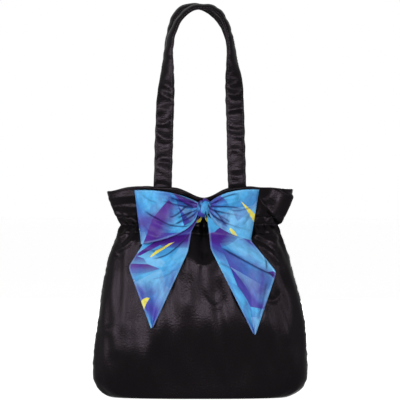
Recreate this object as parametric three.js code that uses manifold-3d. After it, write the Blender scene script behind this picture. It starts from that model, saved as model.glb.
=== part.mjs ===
// A satin shoulder bag: a rounded body gathered at the neck, a flared ruffle above it, two sewn straps,
// and a printed sash that runs round inside the neck casing and ties in a bow on the front.
// Millimetres, +Z up, front towards -Y, origin on the floor under the middle of the base.
import * as THREE from "three";
import { mergeVertices } from "three/addons/utils/BufferGeometryUtils.js";
import Module from "manifold-3d";

const wasm = await Module();
wasm.setup();

// Cloth and seams
const SATIN = 0.9; // outer satin with its fused interlining
const LINING = 0.7; // lining cloth
const SASH_CLOTH = 1.2; // the sash is folded double
const SEAM_GAP = 0.3; // between pieces that are sewn face to face
const FREE_GAP = 1.0; // between cloth that hangs free and what it hangs against

// Body, from the floor up
const BASE_WIDTH = 240;
const BASE_DEPTH = 66;
const BOARD_THICKNESS = 2;
const BOARD_INSET = 6;
const BODY_WIDTH = 302;
const BODY_DEPTH = 84;
const CORNER_HEIGHT = 36; // where the base corners have rounded up into the sides
const SHOULDER_WIDTH = 259;
const SHOULDER_DEPTH = 70;
const SHOULDER_DROP = 51; // from the middle of the neck down to the shoulder
const NECK_WIDTH = 217;
const NECK_DEPTH = 44;
const NECK_HEIGHT = 241;
const CASING_HEIGHT = 24;
const RUFFLE_HEIGHT = 51; // from the middle of the neck to the rim
const RIM_WIDTH = 258;
const RIM_DEPTH = 58;
const RIM_DIP = 14; // how far the knot pulls the rim down
const RIM_DIP_SPREAD = 24;
const SQUARENESS = 2.4; // 2 is an ellipse, more is squarer
const FLARE = 1.15; // 1 is a straight ruffle, more opens sooner above the neck

// Straps
const STRAP_WIDTH = 25;
const STRAP_THICKNESS = 3.2;
const STRAP_SPACING = 104; // between the middles of the two sewn ends
const STRAP_END_LENGTH = 22; // sewn in between ruffle and facing
const STRAP_END_THICKNESS = 1.6;
const CROWN_WIDTH = 94; // between the middles of the legs where the crown begins
const CROWN_HEIGHT = 76;
const CROWN_POINT = 1.12; // 1 is half an ellipse, more is narrower under the top
const FRONT_STRAP_HEIGHT = 250; // from the hinge line to the middle of the crown
const BACK_STRAP_HEIGHT = 255;
const FRONT_CROWN_LEAN = 6; // sideways shift of the top of the crown
const BACK_CROWN_LEAN = -12;
const TWIST_ANGLE = 78; // degrees that the strap turns between its foot and its crown
const TWIST_LENGTH = 125; // length of strap over which it turns
const TWIST_LEAD = 85; // how far below the crown the turn begins

// Bow: each side is measured out from the knot's middle and up from it, as [out, up]
const KNOT_OFFSET = 5; // right of the middle of the bag
const KNOT_RISE = 24; // above the middle of the neck
const KNOT_WIDTH = 20;
const KNOT_DEPTH = 18;
const KNOT_HEIGHT = 25;
const KNOT_SQUARENESS = 3.4;
const LOOP_PUFF = 8; // half the fullness of a loop
const LOOP_ROOT_HEIGHT = 15;
const LOOP_ROOT_DEPTH = 5;
const TAIL_FOLD = 2.5; // half the height of a tail's folds
const TAIL_FOLDS = 1.5; // waves across a tail
const LEFT_BOW = {
  name: "left",
  side: -1,
  loopTop: [95, 24],
  loopTopPull: [43, 26],
  loopBottom: [86, -50],
  loopBottomPull: [15, -38],
  tailOuter: [85, -52.5],
  tailShoulder: [104, -82],
  tailInner: [17, -32.5],
  tailCorner: [22, -61],
  tailTip: [72.5, -166],
};
const RIGHT_BOW = {
  name: "right",
  side: 1,
  loopTop: [76.5, 25],
  loopTopPull: [31, 27],
  loopBottom: [65, -44.5],
  loopBottomPull: [13, -31],
  tailOuter: [66.5, -47],
  tailShoulder: [101, -89],
  tailInner: [7.5, -31.5],
  tailCorner: [10, -57],
  tailTip: [71.5, -175],
};
const SLOT_WIDTH = 17; // buttonhole behind the knot, where the sash comes out of its casing
const SLOT_HEIGHT = 7;
const SASH_WIDTH = 18; // inside the casing

// Mesh fineness
const AROUND = 22; // steps across the front or the back
const CORNER_STEPS = 4;
const BELLY_STEPS = 4;
const RUFFLE_STEPS = 3;
const LEG_STEPS = 8;
const CROWN_STEPS = 14;
const LOOP_STEPS = 18;
const LOOP_ROWS = 4;
const TAIL_COLUMNS = 10;
const TAIL_ROWS = 8;
const TAIL_BEND = 0.25; // how far down its rows a tail is widest

const SHOULDER_HEIGHT = NECK_HEIGHT - SHOULDER_DROP;
const RIM_HEIGHT = NECK_HEIGHT + RUFFLE_HEIGHT;
const CASING_BOTTOM = NECK_HEIGHT - CASING_HEIGHT / 2;
const CASING_TOP = NECK_HEIGHT + CASING_HEIGHT / 2;
const SIDE_GAP_ANGLE = SEAM_GAP / NECK_DEPTH;

// Depth of each layer below the outer face of the wall
const LINING_OUT = SATIN + SEAM_GAP;
const LINING_IN = LINING_OUT + LINING;
const SASH_OUT = SATIN + SEAM_GAP;
const SASH_IN = SASH_OUT + SASH_CLOTH;
const CASING_OUT = SASH_IN + SEAM_GAP;
const CASING_IN = CASING_OUT + LINING;
const STRAP_END_OUT = SATIN + SEAM_GAP;
const STRAP_END_IN = STRAP_END_OUT + STRAP_END_THICKNESS;

const satin = new THREE.MeshStandardMaterial({ color: 0x1b1719, roughness: 0.42, metalness: 0 });
const liningCloth = new THREE.MeshStandardMaterial({ color: 0x161417, roughness: 0.7, metalness: 0 });
const interlining = new THREE.MeshStandardMaterial({ color: 0x2a2a2c, roughness: 0.95, metalness: 0 });
const board = new THREE.MeshStandardMaterial({ color: 0x3a3836, roughness: 0.85, metalness: 0 });
const print = new THREE.MeshStandardMaterial({ color: 0x3f78cf, roughness: 0.45, metalness: 0 });

const bag = new THREE.Group();

function add(name, geometry, material) {
  const mesh = new THREE.Mesh(geometry, material);
  mesh.name = name;
  bag.add(mesh);
}

const mix = THREE.MathUtils.lerp;
const ease = (t) => THREE.MathUtils.smoothstep(t, 0, 1);

// Solids

function signedVolume(points, faces) {
  const cross = new THREE.Vector3();
  return faces.reduce(
    (sum, [a, b, c]) => sum + points[a].dot(cross.crossVectors(points[b], points[c])) / 6,
    0,
  );
}

// A geometry of triangles, turned so that its faces point out.
function solid(points, faces) {
  const outward = signedVolume(points, faces) > 0;
  const order = outward ? faces : faces.map(([a, b, c]) => [a, c, b]);
  return new THREE.BufferGeometry().setFromPoints(points).setIndex(order.flat());
}

const quad = (a, b, c, d) => [
  [a, b, c],
  [a, c, d],
];

// A closed sheet of cloth between two faces, each a function of (u, v) from 0 to 1.
function sheet(nearFace, farFace, columns, rows) {
  const points = [];
  for (const face of [nearFace, farFace])
    for (let j = 0; j <= rows; j++)
      for (let i = 0; i <= columns; i++) points.push(face(i / columns, j / rows));
  const near = (i, j) => j * (columns + 1) + i;
  const far = (i, j) => (rows + 1) * (columns + 1) + near(i, j);
  const faces = [];
  for (let j = 0; j < rows; j++)
    for (let i = 0; i < columns; i++) {
      faces.push(...quad(near(i, j), near(i + 1, j), near(i + 1, j + 1), near(i, j + 1)));
      faces.push(...quad(far(i, j), far(i, j + 1), far(i + 1, j + 1), far(i + 1, j)));
    }
  for (let i = 0; i < columns; i++) {
    faces.push(...quad(near(i + 1, 0), near(i, 0), far(i, 0), far(i + 1, 0)));
    faces.push(...quad(near(i, rows), near(i + 1, rows), far(i + 1, rows), far(i, rows)));
  }
  for (let j = 0; j < rows; j++) {
    faces.push(...quad(near(0, j), near(0, j + 1), far(0, j + 1), far(0, j)));
    faces.push(...quad(near(columns, j + 1), near(columns, j), far(columns, j), far(columns, j + 1)));
  }
  return solid(points, faces);
}

// A sheet of even thickness about a middle surface given as a function of (u, v).
function clothAbout(middle, thickness, columns, rows) {
  const step = 1e-3;
  const normal = (u, v) => {
    const along = middle(Math.min(u + step, 1), v).sub(middle(Math.max(u - step, 0), v));
    const across = middle(u, Math.min(v + step, 1)).sub(middle(u, Math.max(v - step, 0)));
    return along.cross(across).normalize();
  };
  const face = (offset) => (u, v) => middle(u, v).addScaledVector(normal(u, v), offset);
  return sheet(face(thickness / 2), face(-thickness / 2), columns, rows);
}

// A solid through a run of closed sections that have the same number of points.
function loft(sections) {
  const count = sections[0].length;
  const points = sections.flat();
  const faces = [];
  for (let j = 0; j < sections.length - 1; j++)
    for (let i = 0; i < count; i++) {
      const next = (i + 1) % count;
      faces.push(...quad(j * count + i, j * count + next, (j + 1) * count + next, (j + 1) * count + i));
    }
  const last = (sections.length - 1) * count;
  for (let i = 1; i < count - 1; i++) {
    faces.push([0, i + 1, i]);
    faces.push([last, last + i, last + i + 1]);
  }
  return solid(points, faces);
}

function toManifold(geometry) {
  const bare = geometry.clone().deleteAttribute("normal").deleteAttribute("uv");
  const merged = mergeVertices(bare, 1e-4);
  const triVerts = new Uint32Array(merged.index.array);
  const vertProperties = merged.attributes.position.array;
  return new wasm.Manifold(new wasm.Mesh({ numProp: 3, vertProperties, triVerts }));
}

function subtract(geometry, tool) {
  const cut = toManifold(geometry).subtract(toManifold(tool)).getMesh();
  return new THREE.BufferGeometry()
    .setAttribute("position", new THREE.BufferAttribute(cut.vertProperties, 3))
    .setIndex(new THREE.BufferAttribute(cut.triVerts, 1));
}

// The wall of the bag

// A smooth curve through [height, value] knots, level at the first, that never overshoots them.
function through(knots) {
  const last = knots.length - 1;
  const secant = (i) => (knots[i + 1][1] - knots[i][1]) / (knots[i + 1][0] - knots[i][0]);
  const slopes = knots.map((_, i) => {
    if (i === 0) return 0;
    if (i === last) return secant(last - 1);
    const [before, after] = [secant(i - 1), secant(i)];
    return before * after > 0 ? (2 * before * after) / (before + after) : 0;
  });
  return (height) => {
    const i = height > knots[last - 1][0] ? last - 1 : Math.max(0, knots.findIndex((k) => height <= k[0]) - 1);
    const span = knots[i + 1][0] - knots[i][0];
    const t = (height - knots[i][0]) / span;
    const rise = t * t * (3 - 2 * t);
    const lead = span * (slopes[i] * t * (1 - t) ** 2 - slopes[i + 1] * t * t * (1 - t));
    return mix(knots[i][1], knots[i + 1][1], rise) + lead;
  };
}

// Half the width or the depth of the bag at a height above the rounded base corners.
function halfSize(body, shoulder, neck, rim) {
  const below = through([
    [CORNER_HEIGHT, body / 2],
    [SHOULDER_HEIGHT, shoulder / 2],
    [NECK_HEIGHT, neck / 2],
  ]);
  return (height) => {
    if (height <= NECK_HEIGHT) return below(height);
    const share = Math.min(1, (height - NECK_HEIGHT) / RUFFLE_HEIGHT);
    return mix(neck / 2, rim / 2, 1 - (1 - share) ** FLARE);
  };
}

const halfWidth = halfSize(BODY_WIDTH, SHOULDER_WIDTH, NECK_WIDTH, RIM_WIDTH);
const halfDepth = halfSize(BODY_DEPTH, SHOULDER_DEPTH, NECK_DEPTH, RIM_DEPTH);

// The level section at a station: 0 to 1 rounds the base corner, 1 to 2 climbs from there to the rim.
function section(station) {
  if (station > 1) {
    const height = mix(CORNER_HEIGHT, RIM_HEIGHT, station - 1);
    return { height, width: halfWidth(height), depth: halfDepth(height) };
  }
  const turn = (station * Math.PI) / 2;
  return {
    height: CORNER_HEIGHT * (1 - Math.cos(turn)),
    width: mix(BASE_WIDTH, BODY_WIDTH, Math.sin(turn)) / 2,
    depth: mix(BASE_DEPTH, BODY_DEPTH, Math.sin(turn)) / 2,
  };
}

const stationAt = (height) =>
  height > CORNER_HEIGHT
    ? 1 + (height - CORNER_HEIGHT) / (RIM_HEIGHT - CORNER_HEIGHT)
    : (Math.acos(1 - height / CORNER_HEIGHT) * 2) / Math.PI;

const power = (value, exponent) => Math.sign(value) * Math.abs(value) ** exponent;

// The rounded outline of the bag at an angle round it, for half sizes of 1.
function outlineAt(angle) {
  const [c, s] = [Math.cos(angle), Math.sin(angle)];
  const reach = (Math.abs(c) ** SQUARENESS + Math.abs(s) ** SQUARENESS) ** (-1 / SQUARENESS);
  return [c * reach, s * reach];
}

// How far the knot has pulled the ruffle down at a place.
function dip(x, height) {
  const share = THREE.MathUtils.clamp((height - CASING_TOP) / (RIM_HEIGHT - CASING_TOP), 0, 1);
  return RIM_DIP * share * Math.exp(-(((x - KNOT_OFFSET) / RIM_DIP_SPREAD) ** 2));
}

const even = (depth) => () => depth;

// A point of the wall, at an angle round the bag and a station up it, that lies under the outer face.
// The depth under it is a function of the distance from the middle.
function wallPoint(angle, station, depth) {
  const { height, width: a, depth: b } = section(station);
  const step = 1e-3;
  const above = section(Math.min(station + step, 2));
  const below = section(Math.max(station - step, 0));
  const [across, along] = outlineAt(angle);
  const climb = above.height - below.height;
  const spread =
    (Math.abs(across) ** SQUARENESS * (above.width - below.width)) / a +
    (Math.abs(along) ** SQUARENESS * (above.depth - below.depth)) / b;
  const outward = new THREE.Vector3(
    (power(across, SQUARENESS - 1) / a) * climb,
    (power(along, SQUARENESS - 1) / b) * climb,
    -spread,
  ).normalize();
  const x = a * across;
  return new THREE.Vector3(x, b * along, height - dip(x, height)).addScaledVector(outward, -depth(x));
}

// The angle at which the wall is a distance x from the middle, on the front or the back.
function angleAt(x, station, facing) {
  const across = x / section(station).width;
  return facing * Math.atan2((1 - Math.abs(across) ** SQUARENESS) ** (1 / SQUARENESS), across);
}

// How far the outer face of the front stands forward of the middle of the bag.
function frontAt(x, height) {
  const station = stationAt(height);
  return -wallPoint(angleAt(x, station, FRONT), station, even(0)).y;
}

const FRONT = -1;
const BACK = 1;
const HALF = [SIDE_GAP_ANGLE, Math.PI - SIDE_GAP_ANGLE];

const evenStations = (from, to, steps) =>
  Array.from({ length: steps + 1 }, (_, i) => stationAt(mix(from, to, i / steps)));

// A layer of the wall over a span of angles and a list of stations, between two depths.
function wallLayer([start, end], rows, outer, inner, columns = AROUND) {
  const last = rows.length - 1;
  const face = (depth) => (u, v) => wallPoint(mix(start, end, u), rows[Math.round(v * last)], depth);
  return sheet(face(outer), face(inner), columns, last);
}

// A flat slab with the bag's rounded outline.
function slab(width, depth, bottom, thickness) {
  const outline = new THREE.Shape();
  for (let i = 0; i < 2 * AROUND; i++) {
    const [across, along] = outlineAt((i * Math.PI) / AROUND);
    if (i === 0) outline.moveTo((across * width) / 2, (along * depth) / 2);
    else outline.lineTo((across * width) / 2, (along * depth) / 2);
  }
  return new THREE.ExtrudeGeometry(outline, { depth: thickness, bevelEnabled: false }).translate(0, 0, bottom);
}

// Base: outer satin, stiffening board, lining
const BOARD_BOTTOM = SATIN + SEAM_GAP;
const FLOOR_BOTTOM = BOARD_BOTTOM + BOARD_THICKNESS + SEAM_GAP;
const FLOOR_EDGE_HEIGHT = FLOOR_BOTTOM - LINING_OUT / 2;

function buildBase() {
  add("base_panel", slab(BASE_WIDTH - 2 * SEAM_GAP, BASE_DEPTH - 2 * SEAM_GAP, 0, SATIN), satin);
  const boardWidth = BASE_WIDTH - 2 * BOARD_INSET;
  const boardDepth = BASE_DEPTH - 2 * BOARD_INSET;
  add("base_board", slab(boardWidth, boardDepth, BOARD_BOTTOM, BOARD_THICKNESS), board);
  const edge = stationAt(FLOOR_EDGE_HEIGHT);
  const floorWidth = 2 * (wallPoint(0, edge, even(LINING_IN)).x - SEAM_GAP);
  const floorDepth = 2 * (wallPoint(Math.PI / 2, edge, even(LINING_IN)).y - SEAM_GAP);
  add("base_lining", slab(floorWidth, floorDepth, FLOOR_BOTTOM, LINING), liningCloth);
}

// Walls: panel, lining, casing strip, ruffle and facing on each face
const SLOT_CENTRE = CASING_TOP - SLOT_HEIGHT;

function buttonhole() {
  return new THREE.BoxGeometry(SLOT_WIDTH, NECK_DEPTH, SLOT_HEIGHT).translate(
    KNOT_OFFSET,
    -NECK_DEPTH / 2 - CASING_IN,
    SLOT_CENTRE,
  );
}

// The facing lies against the ruffle, and stands off it where a strap end is sewn in between.
const STRAP_MIDDLE = STRAP_SPACING / 2;
const facingDepth = (x) => {
  const away = Math.abs(Math.abs(x) - STRAP_MIDDLE);
  const padded = 1 - THREE.MathUtils.smoothstep(away, STRAP_WIDTH * 1.2, STRAP_WIDTH * 1.7);
  return mix(STRAP_END_OUT, STRAP_END_IN + SEAM_GAP, padded);
};
const facingBack = (x) => facingDepth(x) + SATIN;

const PANEL_ROWS = [
  ...Array.from({ length: CORNER_STEPS }, (_, i) => i / CORNER_STEPS),
  ...evenStations(CORNER_HEIGHT, SHOULDER_HEIGHT, BELLY_STEPS),
  stationAt((SHOULDER_HEIGHT + CASING_BOTTOM) / 2),
  ...evenStations(CASING_BOTTOM, CASING_TOP, 2),
];

function buildWall(name, facing) {
  const span = HALF.map((angle) => facing * angle);
  const panel = wallLayer(span, PANEL_ROWS, even(0), even(SATIN));
  add(name + "_panel", facing === FRONT ? subtract(panel, buttonhole()) : panel, satin);

  const floorRow = stationAt(FLOOR_EDGE_HEIGHT);
  const liningTop = stationAt(CASING_BOTTOM - SEAM_GAP);
  const between = PANEL_ROWS.filter((row) => row > floorRow && row < liningTop);
  const liningRows = [floorRow, ...between, liningTop];
  add(name + "_lining", wallLayer(span, liningRows, even(LINING_OUT), even(LINING_IN)), liningCloth);

  const casingRows = evenStations(CASING_BOTTOM, CASING_TOP, 2);
  add(name + "_casing", wallLayer(span, casingRows, even(CASING_OUT), even(CASING_IN)), liningCloth);

  const ruffleRows = evenStations(CASING_TOP + SEAM_GAP, RIM_HEIGHT, RUFFLE_STEPS);
  add(name + "_ruffle", wallLayer(span, ruffleRows, even(0), even(SATIN)), satin);
  add(name + "_facing", wallLayer(span, ruffleRows, facingDepth, facingBack), satin);

  const endRows = ruffleRows.map((row, i) => mix(stationAt(RIM_HEIGHT - STRAP_END_LENGTH), 2, i / RUFFLE_STEPS));
  for (const side of ["left", "right"]) {
    const middle = side === "left" ? -STRAP_MIDDLE : STRAP_MIDDLE;
    const edges = [-1, 1].map((end) => angleAt(middle + (end * STRAP_WIDTH) / 2, 2, facing));
    const end = wallLayer(edges, endRows, even(STRAP_END_OUT), even(STRAP_END_IN), 3);
    add(name + "_" + side + "_strap_end", end, satin);
  }
}

// Straps: a sewn tube with a stiffening strip in it, flat to the front at the legs and on edge at the crown

const HINGE_HEIGHT = RIM_HEIGHT + SEAM_GAP + STRAP_THICKNESS / 2;

// The middle line of a strap, from 0 at the left hinge through 1 and 2 at the crown's ends to 3 at the right.
function strapLine(height, lean) {
  const legHeight = height - CROWN_HEIGHT;
  return (t) => {
    if (t > 1 && t < 2) {
      const turn = (t - 1) * Math.PI;
      const rise = Math.sin(turn);
      const x = (-CROWN_WIDTH / 2) * power(Math.cos(turn), CROWN_POINT) + lean * rise;
      return new THREE.Vector3(x, 0, legHeight + CROWN_HEIGHT * rise);
    }
    const [side, share] = t <= 1 ? [-1, t] : [1, 3 - t];
    return new THREE.Vector3((side * mix(STRAP_SPACING, CROWN_WIDTH, share)) / 2, 0, legHeight * share);
  };
}

// The closed section of a strap at t, from an outline of [across, through] points.
function strapSection(line, t, outline, legHeight) {
  const step = 1e-3;
  const along = line(Math.min(3, t + step)).sub(line(Math.max(0, t - step))).normalize();
  const outward = new THREE.Vector3(-along.z, 0, along.x);
  const end = Math.min(t, 3 - t);
  const pastLeg = end < 1 ? (end - 1) * legHeight : (end - 1) * CROWN_HEIGHT * 2.4;
  const twist = THREE.MathUtils.degToRad(TWIST_ANGLE) * ease((pastLeg + TWIST_LEAD) / TWIST_LENGTH);
  const across = outward.multiplyScalar(Math.cos(twist)).add(new THREE.Vector3(0, Math.sin(twist), 0));
  const through = along.clone().cross(across);
  return outline.map(([w, h]) => line(t).addScaledVector(across, w).addScaledVector(through, h));
}

const flatOutline = (width, thickness) => [
  [-width / 2, -thickness / 2],
  [width / 2, -thickness / 2],
  [width / 2, thickness / 2],
  [-width / 2, thickness / 2],
];

const roundedOutline = (width, thickness) => {
  const [w, h] = [width / 2, thickness / 2];
  const [inner, edge] = [w - 0.8 * h, 0.4 * h];
  return [
    [-inner, -h],
    [inner, -h],
    [w, -edge],
    [w, edge],
    [inner, h],
    [-inner, h],
    [-w, edge],
    [-w, -edge],
  ];
};

// Sections along a strap, with a few more under each hinge given as [drop, share of the thickness].
function strapSolid(height, lean, shape, width, thickness, ends) {
  const line = strapLine(height, lean);
  const legHeight = height - CROWN_HEIGHT;
  const marks = [];
  for (let i = 0; i < LEG_STEPS; i++) marks.push(i / LEG_STEPS);
  for (let i = 0; i < CROWN_STEPS; i++) marks.push(1 + i / CROWN_STEPS);
  for (let i = 0; i <= LEG_STEPS; i++) marks.push(2 + i / LEG_STEPS);
  const sections = marks.map((t) => strapSection(line, t, shape(width, thickness), legHeight));
  const foot = (t) =>
    ends.map(([drop, share]) =>
      strapSection(line, t, shape(width, thickness * share), legHeight).map((p) =>
        p.add(new THREE.Vector3(0, 0, -drop)),
      ),
    );
  if (ends.length && ends[0][0] < 0) {
    sections.shift();
    sections.pop();
  }
  return loft([...foot(0), ...sections, ...foot(3).reverse()]);
}

function buildStrap(name, facing, height, lean) {
  const half = STRAP_THICKNESS / 2;
  const rounded = [
    [half, 0.4],
    [half * 0.6, 0.85],
  ];
  const outer = strapSolid(height, lean, roundedOutline, STRAP_WIDTH, STRAP_THICKNESS, rounded);
  const hollowWidth = STRAP_WIDTH - 2 * SATIN;
  const hollowThickness = STRAP_THICKNESS - 2 * SATIN;
  const open = [
    [half + 1, 0.4],
    [half * 0.4, 0.4],
    [-half, 1],
  ];
  const hollow = strapSolid(height, lean, flatOutline, hollowWidth, hollowThickness, open);
  const coreWidth = hollowWidth - 2 * SEAM_GAP;
  const coreThickness = hollowThickness - 2 * SEAM_GAP;
  const core = strapSolid(height, lean, flatOutline, coreWidth, coreThickness, [[-2 * half, 1]]);
  const station = stationAt(RIM_HEIGHT);
  const middle = even((STRAP_END_OUT + STRAP_END_IN) / 2);
  const { y } = wallPoint(angleAt(STRAP_MIDDLE, station, facing), station, middle);
  add(name + "_strap_cover", subtract(outer, hollow).translate(0, y, HINGE_HEIGHT), satin);
  add(name + "_strap_core", core.translate(0, y, HINGE_HEIGHT), interlining);
}

// Sash inside the casing, and the two leads that bring it out through the buttonhole to the knot

const SASH_MIDDLE = even((SASH_OUT + SASH_IN) / 2);
const SLOT_LEFT = KNOT_OFFSET - SLOT_WIDTH / 2;
const SLOT_RIGHT = KNOT_OFFSET + SLOT_WIDTH / 2;
const SASH_END_SETBACK = 5; // from the end of the buttonhole to the end of the band
const KNOT_MIDDLE_HEIGHT = NECK_HEIGHT + KNOT_RISE;
const LOOP_REACH = 0.95 * LOOP_PUFF + SASH_CLOTH / 2; // how far a loop's faces stand off its middle plane
const LOOP_PLANE = RIM_DEPTH / 2 + FREE_GAP + LOOP_REACH; // forward of the middle of the bag
const TAIL_PLANE = LOOP_PLANE - LOOP_REACH - SEAM_GAP - SASH_CLOTH;
const KNOT_PLANE = LOOP_PLANE - 1;

// A ribbon through pairs of edge points.
function ribbon(pairs) {
  const last = pairs.length - 1;
  const middle = (u, v) => {
    const i = Math.min(last - 1, Math.floor(u * last));
    const share = u * last - i;
    const [low, high] = [0, 1].map((edge) =>
      new THREE.Vector3(...pairs[i][edge]).lerp(new THREE.Vector3(...pairs[i + 1][edge]), share),
    );
    return low.lerp(high, v);
  };
  return clothAbout(middle, SASH_CLOTH, last, 1);
}

function buildSash() {
  const station = stationAt(NECK_HEIGHT);
  const start = angleAt(SLOT_RIGHT + SASH_END_SETBACK, station, FRONT);
  const end = angleAt(SLOT_LEFT - SASH_END_SETBACK, station, FRONT) + 2 * Math.PI;
  const rows = evenStations(NECK_HEIGHT - SASH_WIDTH / 2, NECK_HEIGHT + SASH_WIDTH / 2, 2);
  add("sash_band", wallLayer([start, end], rows, even(SASH_OUT), even(SASH_IN), 2 * AROUND), print);

  const inCasing = (x, height) => {
    const row = stationAt(height);
    return wallPoint(angleAt(x, row, FRONT), row, SASH_MIDDLE).toArray();
  };
  const outside = -frontAt(KNOT_OFFSET, SLOT_CENTRE) - 2 * SASH_CLOTH;
  const back = -KNOT_PLANE + KNOT_DEPTH / 2 + SASH_CLOTH / 2;
  const low = SLOT_CENTRE - SLOT_HEIGHT / 2 + SEAM_GAP;
  const high = SLOT_CENTRE + SLOT_HEIGHT / 2 - SEAM_GAP;
  const knotBottom = KNOT_MIDDLE_HEIGHT - KNOT_HEIGHT / 2;
  for (const { name, side } of [LEFT_BOW, RIGHT_BOW]) {
    const across = (distance) => KNOT_OFFSET + side * distance;
    const bandEnd = across(SLOT_WIDTH / 2 + SASH_END_SETBACK - SEAM_GAP);
    const slotEdge = across(SLOT_WIDTH / 2 - 2 * SEAM_GAP);
    const lead = ribbon([
      [inCasing(bandEnd, low), inCasing(bandEnd, high)],
      [inCasing(slotEdge, low), inCasing(slotEdge, high)],
      [[across(4.5), outside, low], [across(4.5), outside, high]],
      [[across(2), back, knotBottom], [across(2), back, knotBottom + SLOT_HEIGHT]],
    ]);
    add(name + "_sash_lead", lead, print);
  }
}

// Bow

function knot() {
  const ball = new THREE.SphereGeometry(1, 18, 12);
  const place = ball.attributes.position;
  for (let i = 0; i < place.count; i++) {
    const p = new THREE.Vector3().fromBufferAttribute(place, i);
    const reach = p.toArray().reduce((sum, c) => sum + Math.abs(c) ** KNOT_SQUARENESS, 0);
    p.multiplyScalar(reach ** (-1 / KNOT_SQUARENESS));
    place.setXYZ(i, (p.x * KNOT_WIDTH) / 2, (p.y * KNOT_DEPTH) / 2, (p.z * KNOT_HEIGHT) / 2);
  }
  const bare = ball.deleteAttribute("normal").deleteAttribute("uv");
  return mergeVertices(bare, 1e-4).translate(KNOT_OFFSET, -KNOT_PLANE, KNOT_MIDDLE_HEIGHT);
}

// A place in the plane of the bow, [out, up] from the knot.
const inBow = (side, [out, up]) => new THREE.Vector2(KNOT_OFFSET + side * out, KNOT_MIDDLE_HEIGHT + up);

const LOOP_ROOT = KNOT_WIDTH / 2 + SEAM_GAP + SASH_CLOTH / 2;

// A loop: out along the back, round its far end and in again along the front.
function loop(bow) {
  const at = (place) => inBow(bow.side, place);
  const half = LOOP_ROOT_HEIGHT / 2;
  const bottom = new THREE.QuadraticBezierCurve(at([LOOP_ROOT, -half]), at(bow.loopBottomPull), at(bow.loopBottom));
  const top = new THREE.QuadraticBezierCurve(at([LOOP_ROOT, half]), at(bow.loopTopPull), at(bow.loopTop));
  const middle = (u, v) => {
    const turn = 2 * Math.PI * u;
    const reach = (1 - Math.cos(turn)) / 2;
    const puff = LOOP_PUFF * Math.sin(turn) * Math.sin(turn / 2);
    const forward = -puff - (LOOP_ROOT_DEPTH / 2) * Math.cos(turn / 2);
    const place = bottom.getPoint(reach).lerp(top.getPoint(reach), v);
    return new THREE.Vector3(place.x, -LOOP_PLANE - forward, place.y);
  };
  return clothAbout(middle, SASH_CLOTH, LOOP_STEPS, LOOP_ROWS);
}

// The part of a tail that is fixed: from under the knot to the line where the tail hangs free.
function tailRoot(bow) {
  const at = (place) => inBow(bow.side, place);
  const [outer, inner] = [at(bow.tailOuter), at(bow.tailInner)];
  const knotBottom = -KNOT_HEIGHT / 2 - SEAM_GAP;
  const upper = new THREE.QuadraticBezierCurve(
    outer.clone().add(new THREE.Vector2(0, 3)),
    at([bow.loopBottomPull[0] + 6, bow.loopBottomPull[1] + 2]),
    at([KNOT_WIDTH / 3, knotBottom]),
  );
  const middle = (u, v) => {
    const place = upper.getPoint(u).lerp(outer.clone().lerp(inner, u), v);
    const forward = mix(TAIL_PLANE, KNOT_PLANE - KNOT_DEPTH / 4, ease(u * 1.6 - 0.6) * (1 - v));
    return new THREE.Vector3(place.x, -forward, place.y + SEAM_GAP * v);
  };
  return clothAbout(middle, SASH_CLOTH, 8, 3);
}

// A tail: from its hinge line down over the belly of the bag, falling into folds towards its cut end.
function tail(bow) {
  const at = (place) => inBow(bow.side, place);
  const bent = (...corners) => {
    const [start, corner, end] = corners.map(at);
    return (v) =>
      v < TAIL_BEND
        ? start.clone().lerp(corner, v / TAIL_BEND)
        : corner.clone().lerp(end, (v - TAIL_BEND) / (1 - TAIL_BEND));
  };
  const [tipOut, tipUp] = bow.tailTip;
  const outerEdge = bent(bow.tailOuter, bow.tailShoulder, bow.tailTip);
  const innerEdge = bent(bow.tailInner, bow.tailCorner, [tipOut - 3, tipUp + 2]);
  const middle = (u, v) => {
    const place = outerEdge(v).lerp(innerEdge(v), u);
    const height = place.y - SEAM_GAP * (1 - v);
    const wave = 1 + Math.sin(2 * Math.PI * TAIL_FOLDS * u);
    const fold = TAIL_FOLD * ease(v * 1.5) * wave * (1 - 0.6 * v);
    const overBag = frontAt(place.x, height) + FREE_GAP + SASH_CLOTH / 2 + fold;
    const softness = 3 * ease(v * 4);
    const lead = Math.hypot(overBag - TAIL_PLANE, softness);
    return new THREE.Vector3(place.x, -(overBag + TAIL_PLANE + lead) / 2, height);
  };
  return clothAbout(middle, SASH_CLOTH, TAIL_COLUMNS, TAIL_ROWS);
}

function buildBow() {
  add("bow_knot", knot(), print);
  for (const bow of [LEFT_BOW, RIGHT_BOW]) {
    add(bow.name + "_bow_loop", loop(bow), print);
    add(bow.name + "_tail_root", tailRoot(bow), print);
    add(bow.name + "_bow_tail", tail(bow), print);
  }
}

buildBase();
buildWall("front", FRONT);
buildWall("back", BACK);
buildStrap("front", FRONT, FRONT_STRAP_HEIGHT, FRONT_CROWN_LEAN);
buildStrap("back", BACK, BACK_STRAP_HEIGHT, BACK_CROWN_LEAN);
buildSash();
buildBow();

export default bag;
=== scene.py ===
"""A gathered satin shoulder bag with a printed sash bow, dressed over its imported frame.

Shapes are worked out in millimetres in the bag's own frame, +Z up and front towards -Y, and become metres
when a mesh is made. Each sub-assembly is a class that builds its pieces and dresses them, and ties some of
them to the bag's body.
"""

import logging
import math
from dataclasses import dataclass, field
from enum import Enum
from functools import partial

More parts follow.
